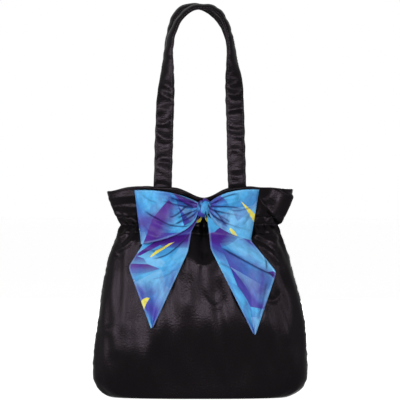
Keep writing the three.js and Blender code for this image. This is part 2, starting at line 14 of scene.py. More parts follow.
import bpy
import numpy as np
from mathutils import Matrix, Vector


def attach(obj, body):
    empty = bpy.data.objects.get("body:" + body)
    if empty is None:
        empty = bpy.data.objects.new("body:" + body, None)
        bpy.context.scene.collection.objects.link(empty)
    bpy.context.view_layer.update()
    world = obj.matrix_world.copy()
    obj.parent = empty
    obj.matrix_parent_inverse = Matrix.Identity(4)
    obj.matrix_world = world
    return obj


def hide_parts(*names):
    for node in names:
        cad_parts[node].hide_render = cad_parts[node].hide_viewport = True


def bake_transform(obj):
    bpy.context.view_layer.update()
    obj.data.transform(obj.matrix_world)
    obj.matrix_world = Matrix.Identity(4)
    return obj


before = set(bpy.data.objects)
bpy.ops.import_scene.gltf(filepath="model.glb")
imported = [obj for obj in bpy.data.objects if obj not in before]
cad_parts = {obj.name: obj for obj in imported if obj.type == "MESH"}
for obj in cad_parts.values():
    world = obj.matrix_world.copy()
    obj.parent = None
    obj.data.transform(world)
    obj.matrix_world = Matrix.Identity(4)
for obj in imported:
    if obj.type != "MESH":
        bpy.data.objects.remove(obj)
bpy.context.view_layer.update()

LOG = logging.getLogger("shoulder_bag")
MM = 0.001
Array = np.ndarray
Place = tuple[float, float]
Stops = tuple[tuple[float, str], ...]
Tree = bpy.types.NodeTree
Node = bpy.types.Node
Socket = bpy.types.NodeSocket
Material = bpy.types.Material
Piece = bpy.types.Object


class Facing(Enum):
    """The two faces of the bag, by the direction of Y that they look in."""

    FRONT = -1
    BACK = 1


class Side(Enum):
    """The two sides of the bow, by the direction of X that they lie in."""

    LEFT = -1
    RIGHT = 1


class FoldKind(Enum):
    """How a line in cloth stands against the cloth beside it."""

    RIDGE = "ridge"
    VALLEY = "valley"
    LAP = "lap"


class Hold(Enum):
    """How a piece of cloth is held in the finished bag."""

    GATHERED = "gathered"
    FOLDED = "folded"
    HUNG = "hung"
    LAID = "laid"


# Small sums that the shapes share


def mix(low: Array, high: Array, share: Array) -> Array:
    """The value a share of the way from low to high."""
    return low + (high - low) * share


def ease(share: Array) -> Array:
    """A share held between 0 and 1 that starts and ends gently."""
    held = np.clip(share, 0.0, 1.0)
    return held * held * (3.0 - 2.0 * held)


def bell(distance: Array) -> Array:
    """A rounded hump, 1 at no distance."""
    return np.exp(-(distance**2))


def power(value: Array, exponent: float) -> Array:
    """A power that keeps its value's sign."""
    return np.sign(value) * np.abs(value) ** exponent


def unit(vectors: Array) -> Array:
    """Vectors of the same directions, each 1 long."""
    return vectors / np.maximum(np.linalg.norm(vectors, axis=-1, keepdims=True), 1e-9)


def ripple(across: Array, along: Array, seed: int, shortest: float, longest: float) -> Array:
    """The uneven swell of slack cloth, from nine crossing waves.

    Args:
        across: Places along one direction of the cloth.
        along: Places along the other direction.
        seed: Which of many swells.
        shortest: Length of the shortest wave.
        longest: Length of the longest wave.

    Returns:
        The swell at each place, mostly between -1 and 1.
    """
    chance = np.random.default_rng(seed)
    total = np.zeros(np.broadcast(across, along).shape)
    strength = 0.0
    for length in np.geomspace(shortest, longest, 9):
        turn, phase = chance.uniform(0.0, 2.0 * np.pi, 2)
        size = (length / longest) ** 0.6
        distance = across * np.cos(turn) + along * np.sin(turn)
        total += size * np.sin(2.0 * np.pi * distance / length + phase)
        strength += size * size / 2.0
    return total / (1.7 * math.sqrt(strength))


def smooth_path(corners: tuple[Place, ...]) -> Array:
    """Points of a smooth curve through three or more places.

    Args:
        corners: The places, in order.

    Returns:
        The curve's points, one a row.
    """
    knots = np.array(corners, float)
    padded = np.vstack([2 * knots[0] - knots[1], knots, 2 * knots[-1] - knots[-2]])
    points = []
    for i in range(1, len(padded) - 2):
        before, start, end, after = padded[i - 1 : i + 3]
        for t in np.linspace(0, 1, 8, endpoint=False):
            pull = (end - before) * t + (2 * before - 5 * start + 4 * end - after) * t**2
            points.append(start + 0.5 * (pull + (3 * start - before - 3 * end + after) * t**3))
    return np.array(points + [knots[-1]])


@dataclass(frozen=True)
class FoldLine:
    """One crease, roll or lap in cloth, along a path as seen from the front.

    A lap stands up on the left of its path, looking along it, and drops sharply across the line. The taper
    is the share of the path over which each end fades.
    """

    kind: FoldKind
    path: tuple[Place, ...]
    height: float
    width: float
    taper: float = 0.25

    def trace(self, x: Array, z: Array) -> tuple[Array, Array, Array]:
        """Where places lie against the fold's line.

        Args:
            x: Places across the bag.
            z: Heights.

        Returns:
            Which places are near, and for those the signed distance and the fold's strength there.
        """
        line = smooth_path(self.path)
        reach = 4.0 * self.width + 1.0
        low, high = line.min(axis=0) - reach, line.max(axis=0) + reach
        near = (x > low[0]) & (x < high[0]) & (z > low[1]) & (z < high[1])
        place = np.stack([x[near], z[near]], axis=-1)
        best = np.full(len(place), np.inf)
        signed = np.zeros(len(place))
        travelled = np.zeros(len(place))
        for i, (start, end) in enumerate(zip(line[:-1], line[1:])):
            run = end - start
            offset = place - start
            share = np.clip(offset @ run / (run @ run), 0.0, 1.0)
            gap = offset - share[:, None] * run
            distance = np.hypot(gap[:, 0], gap[:, 1])
            closer = distance < best
            best[closer] = distance[closer]
            turn = run[0] * offset[:, 1] - run[1] * offset[:, 0]
            signed[closer] = (np.where(turn < 0, -1.0, 1.0) * distance)[closer]
            travelled[closer] = ((i + share) / (len(line) - 1))[closer]
        return near, signed, ease(travelled / self.taper) * ease((1.0 - travelled) / self.taper)

    def lift(self, x: Array, z: Array) -> Array:
        """How far the fold lifts the cloth.

        Args:
            x: Places across the bag.
            z: Heights.

        Returns:
            The lift at each place.
        """
        near, signed, strength = self.trace(x, z)
        total = np.zeros(x.shape)
        total[near] = self.height * strength * self.profile(signed)
        return total

    def crease(self, x: Array, z: Array) -> Array:
        """How deep places lie in the line where the cloth closes on itself, which sets how much shade is
        painted there.

        Args:
            x: Places across the bag.
            z: Heights.

        Returns:
            The depth at each place, from 0 to 1.
        """
        total = np.zeros(x.shape)
        if self.kind is not FoldKind.RIDGE:
            near, signed, strength = self.trace(x, z)
            middle = -0.7 if self.kind is FoldKind.LAP else 0.0
            total[near] = min(1.0, self.height / 2.6) * strength * bell((signed - middle) / 1.25)
        return total

    def profile(self, distance: Array) -> Array:
        """The fold's section.

        Args:
            distance: Signed distances from the fold's line.

        Returns:
            The height at each distance, 1 at a crest and -1 in a valley.
        """
        if self.kind is FoldKind.RIDGE:
            return bell(distance / self.width)
        if self.kind is FoldKind.VALLEY:
            return -np.exp(-((np.abs(distance) / self.width) ** 1.25))
        return ease((distance + 0.7) / 1.4) * np.exp(-np.maximum(distance, 0.0) / self.width)


ridge = partial(FoldLine, FoldKind.RIDGE)
valley = partial(FoldLine, FoldKind.VALLEY)
lap = partial(FoldLine, FoldKind.LAP)


# Meshes


def strip_quads(first: Array, second: Array) -> Array:
    """The values at the four corners of each face between two rows of the same length."""
    return np.stack([first[:-1], first[1:], second[1:], second[:-1]], axis=1)


def grid_quads(grid: Array) -> Array:
    """The values at the four corners of each face of a grid."""
    return np.stack([grid[:-1, :-1], grid[:-1, 1:], grid[1:, 1:], grid[1:, :-1]], axis=2)


def border_ring(rows: int, columns: int) -> tuple[Array, Array]:
    """The points round the border of a grid, anticlockwise and closed.

    Args:
        rows: How many rows the grid has.
        columns: How many columns it has.

    Returns:
        The row and the column of each point.
    """
    bottom = [(0, j) for j in range(columns)]
    right = [(i, columns - 1) for i in range(1, rows)]
    top = [(rows - 1, j) for j in range(columns - 2, -1, -1)]
    left = [(i, 0) for i in range(rows - 2, -1, -1)]
    ring = np.array(bottom + right + top + left)
    return ring[:, 0], ring[:, 1]


class MeshDraft:
    """Gathers the points and four-sided faces of one piece."""

    def __init__(self) -> None:
        """Starts an empty piece."""
        self.points: list[Array] = []
        self.quads: list[Array] = []
        self.corner_uv: list[Array] = []
        self.slots: list[Array] = []
        self.hem_highlight_and_shade: list[Array] = []
        self.count = 0

    def add_points(self, points: Array, hem: Array | float = 0.0) -> Array:
        """Adds points and returns their numbers.

        Args:
            points: Places, with the coordinates in the last axis.
            hem: 1 on a turned hem and on a crest, with a painted highlight, and down to -1 deep in a crease,
                with painted shade.

        Returns:
            The points' numbers, in the shape of the given array without its last axis.
        """
        shape = points.shape[:-1]
        numbers = self.count + np.arange(int(np.prod(shape))).reshape(shape)
        self.points.append(points.reshape(-1, 3))
        self.hem_highlight_and_shade.append(np.broadcast_to(hem, shape).reshape(-1).astype(float))
        self.count += numbers.size
        return numbers

    def add_faces(self, quads: Array, uv: Array, slot: int = 0) -> None:
        """Adds faces.

        Args:
            quads: Numbers of each face's four points.
            uv: Cloth coordinates of the faces' corners.
            slot: Number of the material.
        """
        self.quads.append(quads.reshape(-1, 4))
        self.corner_uv.append(uv.reshape(-1, 4, 2))
        self.slots.append(np.full(self.quads[-1].shape[0], slot))

    def add_sheet(self, near: Array, far: Array, uv: Array, hem: Array | float = 0.0) -> None:
        """Adds a closed sheet of cloth between two faces, with a rounded edge.

        Args:
            near: Grid of points of the face that the cloth's outside looks from.
            far: Grid of points of the other face.
            uv: Cloth coordinates of the grid.
            hem: 1 on a turned hem and on a crest, with a painted highlight, and down to -1 deep in a crease,
                with painted shade.
        """
        rows, columns = near.shape[:2]
        top, under = self.add_points(near, hem), self.add_points(far, hem)
        for numbers, flipped in ((top, False), (under, True)):
            quads, corners = grid_quads(numbers), grid_quads(uv)
            if flipped:
                quads, corners = quads[..., ::-1], corners[..., ::-1, :]
            self.add_faces(quads, corners)
        i, j = border_ring(rows, columns)
        inner_i, inner_j = np.clip(i, 1, rows - 2), np.clip(j, 1, columns - 2)
        middle = (near + far) / 2.0
        outward = unit(middle[i, j] - middle[inner_i, inner_j])
        thickness = np.linalg.norm(near[i, j] - far[i, j], axis=-1, keepdims=True)
        edge_points = (middle[i, j] + outward * thickness * 0.45)[:-1]
        edge_hem = np.broadcast_to(hem, (rows, columns))[i, j][:-1]
        edge = self.add_points(edge_points, edge_hem)
        edge = np.append(edge, edge[0])
        edge_uv = strip_quads(uv[i, j], uv[i, j])
        self.add_faces(strip_quads(edge, top[i, j]), edge_uv)
        self.add_faces(strip_quads(under[i, j], edge), edge_uv)

    def add_tube(self, rings: Array, uv: Array, slot: int = 0, hem: Array | float = 0.0) -> None:
        """Adds a closed tube through rings of points, with its ends closed.

        Args:
            rings: Rings of an even number of points, one ring a row.
            uv: Cloth coordinates, with one more column than the rings have points.
            slot: Number of the material.
            hem: 1 on a turned hem and on a crest, with a painted highlight, and down to -1 deep in a crease,
                with painted shade.
        """
        numbers = self.add_points(rings, hem)
        wrapped = np.concatenate([numbers, numbers[:, :1]], axis=1)
        quads, corners = grid_quads(wrapped), grid_quads(uv)
        count = rings.shape[1]
        half = np.arange(count // 2)
        ends, end_uv = [], []
        for row, turned in ((0, True), (-1, False)):
            first, second = numbers[row, half], numbers[row, count - 1 - half]
            cap = strip_quads(first, second)
            cap_uv = strip_quads(uv[row, half], uv[row, count - 1 - half])
            ends.append(cap[:, ::-1] if turned else cap)
            end_uv.append(cap_uv[:, ::-1] if turned else cap_uv)
        faces = np.concatenate([quads.reshape(-1, 4), *ends])
        face_uv = np.concatenate([corners.reshape(-1, 4, 2), *end_uv])
        flat = rings.reshape(-1, 3) - rings.reshape(-1, 3).mean(axis=0)
        a, b, c, d = (flat[faces[:, k] - numbers[0, 0]] for k in range(4))
        volume = np.einsum("ij,ij->", a, np.cross(b, c)) + np.einsum("ij,ij->", a, np.cross(c, d))
        if volume < 0:
            faces, face_uv = faces[:, ::-1], face_uv[:, ::-1]
        self.add_faces(faces, face_uv, slot)

    def make(self, name: str, materials: list[Material]) -> Piece:
        """Makes the Blender object, in metres.

        Args:
            name: The piece's name.
            materials: Its materials, in the order of the slot numbers.

        Returns:
            The new object, linked to the scene.
        """
        points = np.concatenate(self.points) * MM
        quads = np.concatenate(self.quads).astype(np.int32)
        mesh = bpy.data.meshes.new(name)
        mesh.vertices.add(len(points))
        mesh.vertices.foreach_set("co", points.astype(np.float32).ravel())
        mesh.loops.add(quads.size)
        mesh.loops.foreach_set("vertex_index", quads.ravel())
        mesh.polygons.add(len(quads))
        mesh.polygons.foreach_set("loop_start", np.arange(0, quads.size, 4, dtype=np.int32))
        mesh.polygons.foreach_set("material_index", np.concatenate(self.slots).astype(np.int32))
        mesh.polygons.foreach_set("use_smooth", np.ones(len(quads), dtype=bool))
        cloth = mesh.uv_layers.new(name="cloth")
        cloth.data.foreach_set("uv", (np.concatenate(self.corner_uv) * MM).astype(np.float32).ravel())
        # The print is painted lighter as a highlight where this is above 0, and darker as shade where it is
        # below 0
        hem = mesh.attributes.new("hem", "FLOAT", "POINT")
        hem.data.foreach_set("value", np.concatenate(self.hem_highlight_and_shade).astype(np.float32))
        mesh.update(calc_edges=True)
        mesh.validate()
        for material in materials:
            mesh.materials.append(material)
        piece = bpy.data.objects.new(name, mesh)
        bpy.context.scene.collection.objects.link(piece)
        return piece


def both_faces(middle: Array, thickness: float) -> tuple[Array, Array]:
    """The two faces of a sheet of even thickness about a grid of middle points."""
    normal = unit(np.cross(np.gradient(middle, axis=1), np.gradient(middle, axis=0)))
    return middle + normal * thickness / 2.0, middle - normal * thickness / 2.0


def cloth_lengths(grid: Array) -> Array:
    """Cloth coordinates of a grid, from the mean spacing of its columns and rows.

    Args:
        grid: Points of the cloth.

    Returns:
        How far across and up the flat cloth each point lies.
    """
    across = np.linalg.norm(np.diff(grid, axis=1), axis=-1).mean(axis=0)
    upward = np.linalg.norm(np.diff(grid, axis=0), axis=-1).mean(axis=1)
    u = np.concatenate([[0.0], np.cumsum(across)])
    v = np.concatenate([[0.0], np.cumsum(upward)])
    return np.stack(np.meshgrid(u, v), axis=-1)


def cloth_piece(
    name: str, near: Array, far: Array, uv: Array, material: Material, hem: Array | float = 0.0
) -> Piece:
    """Makes a piece from one sheet of cloth.

    Args:
        name: The piece's name.
        near: Its near face, as add_sheet takes it, and so for the rest of the sheet.
        far: Its far face.
        uv: Its cloth coordinates.
        material: Its material.
        hem: Where its print is painted lighter as a highlight, on a turned hem and on crests, and darker as
            shade, in creases.

    Returns:
        The new piece.
    """
    draft = MeshDraft()
    draft.add_sheet(near, far, uv, hem)
    return draft.make(name, [material])


# Materials


def linear(code: str) -> tuple[float, float, float, float]:
    """Turns a colour's sRGB hex value into linear values.

    Args:
        code: The hex value, with its # sign.

    Returns:
        Red, green, blue and alpha for a shader.
    """
    channels = [int(code[i : i + 2], 16) / 255.0 for i in (1, 3, 5)]
    red, green, blue = (c / 12.92 if c <= 0.04045 else ((c + 0.055) / 1.055) ** 2.4 for c in channels)
    return red, green, blue, 1.0


def add_node(
    tree: Tree, kind: str, settings: dict[str, object] | None = None, stops: Stops = (), **sockets: object
) -> Node:
    """Adds a node with its settings, values and links.

    Args:
        tree: The material's or world's node tree.
        kind: Blender's name for the node, without the ShaderNode that it starts with.
        settings: Properties of the node itself.
        stops: Places and hex colours along a ramp, in order.
        **sockets: Inputs by name, with _ for a space, or by number as in n0. A socket is linked.

    Returns:
        The new node.
    """
    node = tree.nodes.new("ShaderNode" + kind)
    for key, value in (settings or {}).items():
        setattr(node, key, value)
    for i, (place, code) in enumerate(stops):
        elements = node.color_ramp.elements
        element = elements[i] if i < len(elements) else elements.new(place)
        element.position, element.color = place, linear(code)
    for key, value in sockets.items():
        place = int(key[1:]) if key[0] == "n" and key[1:].isdigit() else key.replace("_", " ")
        if isinstance(value, Socket):
            tree.links.new(value, node.inputs[place])
        else:
            node.inputs[place].default_value = value
    return node


def new_material(name: str) -> tuple[Material, Tree]:
    """Starts an empty material.

    Args:
        name: The material's name.

    Returns:
        The material and its node tree.
    """
    material = bpy.data.materials.new(name)
    material.use_nodes = True
    material.node_tree.nodes.clear()
    return material, material.node_tree


def cloth_scale(tree: Tree, across_mm: float, along_mm: float) -> Socket:
    """Scales the cloth coordinates to a real size.

    Args:
        tree: The material's node tree.
        across_mm: Size of one unit across the cloth.
        along_mm: Size of one unit along the cloth.

    Returns:
        The socket of the coordinates.
    """
    place = add_node(tree, "UVMap", {"uv_map": "cloth"})
    scale = (1.0 / (across_mm * MM), 1.0 / (along_mm * MM), 1.0)
    return add_node(tree, "Mapping", Vector=place.outputs["UV"], Scale=scale).outputs[0]


@dataclass(frozen=True)
class SatinWeave:
    """The surface of pressed satin: long warp floats side by side, a little crumpled."""

    roughness: float
    streak_mm: float = 1.6  # floats are about 0.2 mm wide, drawn coarser so that they show
    float_mm: float = 26.0
    crumple_mm: float = 15.0
    crumple: float = 0.06
    grain_mm: float = 2.4  # bindings between floats are about 0.5 mm apart, drawn coarser to show
    grain: float = 0.9

    def sockets(self, tree: Tree) -> tuple[Socket, Socket]:
        """Builds the weave.

        Args:
            tree: The material's node tree.

        Returns:
            The sockets of its roughness and its normal.
        """
        # Size across and along the cloth, and how much fine detail each layer has
        sizes = (
            (self.streak_mm, self.float_mm, 3.0),
            (self.crumple_mm, self.crumple_mm * 1.5, 3.0),
            (self.grain_mm, self.grain_mm, 1.0),
        )
        streak, crumple, grain = (
            add_node(tree, "TexNoise", Vector=cloth_scale(tree, *size), Scale=1.0, Detail=much).outputs["Fac"]
            for *size, much in sizes
        )
        low, high = self.roughness - 0.07, self.roughness + 0.07
        rough = add_node(tree, "MapRange", Value=streak, To_Min=low, To_Max=high)
        normal: dict[str, Socket] = {}
        layers = ((streak, 0.14, 0.3), (grain, self.grain, 0.2), (crumple, self.crumple, 1.2))
        for height, strength, deep_mm in layers:
            deep = deep_mm * MM
            bump = add_node(tree, "Bump", Strength=strength, Distance=deep, Height=height, **normal)
            normal = {"Normal": bump.outputs["Normal"]}
        return rough.outputs["Result"], normal["Normal"]


@dataclass(frozen=True)
class BlackSatin:
    """Black polyester satin, woven with long warp floats and pressed.

    The floats lie side by side, so the eye sees a deep black with a soft violet-grey sheen that spreads
    across the floats, breaks along every fold that crosses them, and has fine streaks down the warp. Fibres
    scatter most of what solid polyester would mirror, so the IOR is far below its 1.6.
    """

    deep: str = "#050505"
    # Lighter patches at random places: partly uneven pressing of the cloth, partly painted sheen
    pressed_and_painted_sheen: str = "#080707"
    shine: str = "#fbe3f9"
    weave: SatinWeave = SatinWeave(roughness=0.3)
    patch_mm: float = 60.0

    def material(self) -> Material:
        """Builds the finish.

        Returns:
            Its material.
        """
        made, tree = new_material("black_satin")
        place = cloth_scale(tree, self.patch_mm, self.patch_mm * 1.4)
        patch = add_node(tree, "TexNoise", Vector=place, Scale=1.0, Detail=2.0)
        # Painted sheen, partly uneven pressing, in random patches of the base colour
        stops = ((0.42, self.deep), (0.7, self.pressed_and_painted_sheen))
        colour = add_node(tree, "ValToRGB", stops=stops, Fac=patch.outputs["Fac"])
        rough, normal = self.weave.sockets(tree)
        across = add_node(tree, "Tangent", {"direction_type": "UV_MAP", "uv_map": "cloth"})
        shader = add_node(
            tree,
            "BsdfPrincipled",
            Base_Color=colour.outputs["Color"],
            Roughness=rough,
            Normal=normal,
            IOR=1.17,
            Specular_Tint=linear(self.shine),
            Anisotropic=0.75,
            Tangent=across.outputs[0],
        )
        add_node(tree, "OutputMaterial", Surface=shader.outputs["BSDF"])
        return made


@dataclass(frozen=True)
class PlainLining:
    """Black polyester taffeta, plain woven from fine yarn, which is duller than satin and faintly checked."""

    dark: str = "#0c0b0d"
    light: str = "#19171b"
    yarn_mm: float = 1.4  # yarns are about 0.3 mm apart, drawn coarser so that they show
    roughness: float = 0.62

    def material(self) -> Material:
        """Builds the finish.

        Returns:
            Its material.
        """
        made, tree = new_material("lining_taffeta")
        check = add_node(
            tree,
            "TexBrick",
            {"offset": 0.5},
            Vector=cloth_scale(tree, self.yarn_mm, self.yarn_mm),
            Scale=1.0,
            Color1=linear(self.dark),
            Color2=linear(self.light),
            Mortar=linear(self.dark),
            Mortar_Size=0.12,
            Brick_Width=1.0,
            Row_Height=0.5,
        )
        bump = add_node(tree, "Bump", Strength=0.25, Distance=0.0002, Height=check.outputs["Fac"])
        colour, normal = check.outputs["Color"], bump.outputs["Normal"]
        looks = {"Base_Color": colour, "Roughness": self.roughness, "Normal": normal, "IOR": 1.5}
        shader = add_node(tree, "BsdfPrincipled", **looks)
        add_node(tree, "OutputMaterial", Surface=shader.outputs["BSDF"])
        return made


@dataclass(frozen=True)
class PressedBoard:
    """Grey pressed fibre board, rolled flat, which is matt with paler flecks of fibre."""

    grey: str = "#3a3836"
    fleck: str = "#5a5753"
    fibre_mm: float = 2.5
    roughness: float = 0.85

    def material(self) -> Material:
        """Builds the finish.

        Returns:
            Its material.
        """
        made, tree = new_material("pressed_board")
        place = add_node(tree, "TexCoord").outputs["Object"]
        scale = 1.0 / (self.fibre_mm * MM)
        fibre = add_node(tree, "TexNoise", Vector=place, Scale=scale, Detail=6.0).outputs["Fac"]
        stops = ((0.45, self.grey), (0.75, self.fleck))
        colour = add_node(tree, "ValToRGB", stops=stops, Fac=fibre).outputs["Color"]
        normal = add_node(tree, "Bump", Strength=0.2, Distance=0.0002, Height=fibre).outputs["Normal"]
        looks = {"Base_Color": colour, "Roughness": self.roughness, "Normal": normal, "IOR": 1.5}
        shader = add_node(tree, "BsdfPrincipled", **looks)
        add_node(tree, "OutputMaterial", Surface=shader.outputs["BSDF"])
        return made


@dataclass(frozen=True)
class PrintedSatin:
    """Light polyester satin with a dye-printed design of overlapping facets.

    The dye sinks into the floats, so the colours are clear and a little mottled, and the cloth keeps a soft
    shine over them. Sky and mid blue facets shade into each other, some under a pale veil or a violet wash,
    with long violet shards and a few small yellow ones.
    """

    blues: tuple[str, ...] = ("#3c399a", "#3366b2", "#459cd2", "#4ca6dc", "#367ec0", "#3c40a0")
    violet: str = "#421c80"
    wash: str = "#3d288a"
    yellow: str = "#dacf52"
    # The print's pale veil, also used as the painted highlight on turned edges and crests
    pale: str = "#86badf"
    # Painted shade in creases, between pleats and in the knot's hollows
    crease: str = "#1d1650"
    facet_mm: Place = (58.0, 82.0)
    veil_mm: Place = (26.0, 44.0)
    shard_mm: Place = (21.0, 66.0)
    spark_mm: Place = (15.0, 24.0)
    wash_mm: float = 50.0
    mottle_mm: float = 7.0
    weave: SatinWeave = SatinWeave(roughness=0.4, streak_mm=1.4, float_mm=22.0, crumple_mm=10.0, crumple=0.24)

    def material(self) -> Material:
        """Builds the finish.

        Returns:
            Its material.
        """
        made, tree = new_material("printed_satin")
        colour = self.facets(tree)
        hem = add_node(tree, "Attribute", {"attribute_name": "hem"}).outputs["Fac"]
        # Colour, cover and strength of each layer over the facets: the dyes of the print, then a painted
        # highlight on turned edges and crests, and painted shade in creases
        layers = (
            (self.pale, self.shards(tree, self.veil_mm, 0.8, 0.7), 0.4),
            (self.wash, self.washes(tree), 1.0),
            (self.violet, self.shards(tree, self.shard_mm, 2.2, 0.82), 1.0),
            (self.violet, self.shards(tree, self.shard_mm, 1.1, 0.82), 1.0),
            (self.yellow, self.shards(tree, self.spark_mm, 1.9, 0.95, fade=0.0005), 1.0),
            (self.pale, hem, 0.22),
            (self.crease, hem, -0.85),
        )
        times, mixed = {"operation": "MULTIPLY", "use_clamp": True}, {"data_type": "RGBA"}
        for code, cover, strength in layers:
            share = add_node(tree, "Math", times, n0=cover, n1=strength).outputs[0]
            colour = add_node(tree, "Mix", mixed, n0=share, n6=colour, n7=linear(code)).outputs[2]
        rough, normal = self.weave.sockets(tree)
        looks = {"Base_Color": self.mottled(tree, colour), "Roughness": rough, "Normal": normal}
        shader = add_node(tree, "BsdfPrincipled", **looks, IOR=1.45, Specular_IOR_Level=0.2)
        add_node(tree, "OutputMaterial", Surface=shader.outputs["BSDF"])
        return made

    def cells(self, tree: Tree, size: Place, turn: float) -> tuple[Socket, Socket]:
        """A field of straight-sided cells.

        Args:
            tree: The material's node tree.
            size: Mean size of a cell.
            turn: How far the field is turned on the cloth, in radians.

        Returns:
            The sockets of a chance number for each cell, and of the place across it from about -0.5 to 0.5.
        """
        flat = add_node(tree, "UVMap", {"uv_map": "cloth"}).outputs["UV"]
        place = add_node(
            tree,
            "Mapping",
            {"vector_type": "TEXTURE"},
            Vector=flat,
            Rotation=(0.0, 0.0, turn),
            Scale=(size[0] * MM, size[1] * MM, 1.0),
            Location=(turn, turn * 0.7, 0.0),
        ).outputs[0]
        plane = {"voronoi_dimensions": "2D"}
        cell = add_node(tree, "TexVoronoi", plane, Vector=place, Scale=1.0).outputs
        chance = add_node(tree, "SeparateColor", Color=cell["Color"]).outputs["Green"]
        less = {"operation": "SUBTRACT"}
        offset = add_node(tree, "VectorMath", less, n0=place, n1=cell["Position"])
        dot, slant = {"operation": "DOT_PRODUCT"}, (0.7, 0.4, 0.0)
        across = add_node(tree, "VectorMath", dot, n0=offset.outputs[0], n1=slant)
        return chance, across.outputs["Value"]

    def facets(self, tree: Tree) -> Socket:
        """The blue facets, each shaded from one side to the other.

        Args:
            tree: The material's node tree.

        Returns:
            The socket of their colour.
        """
        chance, across = self.cells(tree, self.facet_mm, 0.5)
        place = cloth_scale(tree, *self.facet_mm)
        wash = add_node(tree, "TexNoise", Vector=place, Scale=1.0, Detail=1.0).outputs["Fac"]
        sum_up = {"operation": "MULTIPLY_ADD"}
        tone = add_node(tree, "Math", sum_up, n0=chance, n1=0.5, n2=across).outputs[0]
        tone = add_node(tree, "Math", sum_up, n0=wash, n1=0.6, n2=tone).outputs[0]
        stops = tuple((0.08 + 0.19 * i, code) for i, code in enumerate(self.blues))
        return add_node(tree, "ValToRGB", stops=stops, Fac=tone).outputs["Color"]

    def shards(self, tree: Tree, size: Place, turn: float, rare: float, fade: float = 0.6) -> Socket:
        """The cover of shards, each a cell that is full on one side and fades out across the other.

        Args:
            tree: The material's node tree.
            size: Mean size of a shard.
            turn: How far their field is turned on the cloth, in radians.
            rare: The share of the field that they leave bare.
            fade: How far past its cell's middle a shard fades out, in cells.

        Returns:
            The socket of the cover.
        """
        chance, across = self.cells(tree, size, turn)
        chosen = add_node(tree, "Math", {"operation": "GREATER_THAN"}, n0=chance, n1=rare)
        edge = add_node(tree, "MapRange", Value=across, From_Min=-fade, From_Max=0.0)
        picked, faded = chosen.outputs[0], edge.outputs["Result"]
        return add_node(tree, "Math", {"operation": "MULTIPLY"}, n0=picked, n1=faded).outputs[0]

    def washes(self, tree: Tree) -> Socket:
        """The cover of the violet wash, in soft patches.

        Args:
            tree: The material's node tree.

        Returns:
            The socket of the cover.
        """
        place = cloth_scale(tree, self.wash_mm, self.wash_mm * 1.3)
        patch = add_node(tree, "TexNoise", Vector=place, Scale=1.0, Detail=4.0, Distortion=0.7)
        levels = {"From_Min": 0.5, "From_Max": 0.66, "To_Max": 0.85}
        return add_node(tree, "MapRange", Value=patch.outputs["Fac"], **levels).outputs["Result"]

    def mottled(self, tree: Tree, colour: Socket) -> Socket:
        """Makes the print a little lighter and darker where the dye took unevenly.

        Args:
            tree: The material's node tree.
            colour: The socket of the even colour.

        Returns:
            The socket of the mottled colour.
        """
        place = cloth_scale(tree, self.mottle_mm, self.mottle_mm * 1.6)
        grain = add_node(tree, "TexNoise", Vector=place, Scale=1.0, Detail=6.0, Roughness=0.7)
        levels = {"From_Min": 0.25, "From_Max": 0.75, "To_Min": 0.68, "To_Max": 1.18}
        value = add_node(tree, "MapRange", Value=grain.outputs["Fac"], **levels).outputs["Result"]
        return add_node(tree, "HueSaturation", Value=value, Color=colour).outputs[0]


@dataclass(frozen=True)
class SewingThread:
    """Black spun polyester thread, twisted, painted a little lighter on each turn as a highlight."""

    dark: str = "#121113"
    light: str = "#2c292c"
    twist_mm: float = 0.8
    roughness: float = 0.55

    def material(self) -> Material:
        """Builds the finish.

        Returns:
            Its material.
        """
        made, tree = new_material("black_thread")
        place = add_node(tree, "TexCoord").outputs["Object"]
        scale = 1.0 / (self.twist_mm * MM) / 20.0  # the texture's waves are shorter than its unit
        slanted = {"bands_direction": "DIAGONAL"}
        twist = add_node(tree, "TexWave", slanted, Vector=place, Scale=scale).outputs["Fac"]
        # Painted highlight along each turn of the twist
        stops = ((0.3, self.dark), (0.8, self.light))
        colour = add_node(tree, "ValToRGB", stops=stops, Fac=twist).outputs["Color"]
        shader = add_node(tree, "BsdfPrincipled", Base_Color=colour, Roughness=self.roughness, IOR=1.5)
        add_node(tree, "OutputMaterial", Surface=shader.outputs["BSDF"])
        return made


@dataclass
class Finishes:
    """The bag's materials, each made once."""

    satin: Material = field(default_factory=BlackSatin().material)
    lining: Material = field(default_factory=PlainLining().material)
    board: Material = field(default_factory=PressedBoard().material)
    printed: Material = field(default_factory=PrintedSatin().material)
    thread: Material = field(default_factory=SewingThread().material)


# Shape of the bag's wall


@dataclass(frozen=True)
class Pleat:
    """One pleat that the drawn-in neck makes, by its place along the cloth from 0 to 1."""

    centre: float
    width: float
    height: float
    below: float
    above: float
    drift: float


@dataclass(frozen=True)
class Swell:
    """A rounded rise, or fall where its size is negative, about a middle."""

    size: float
    middle: float
    spread: float

    def at(self, place: Array) -> Array:
        """The rise at each place."""
        return self.size * bell((place - self.middle) / self.spread)


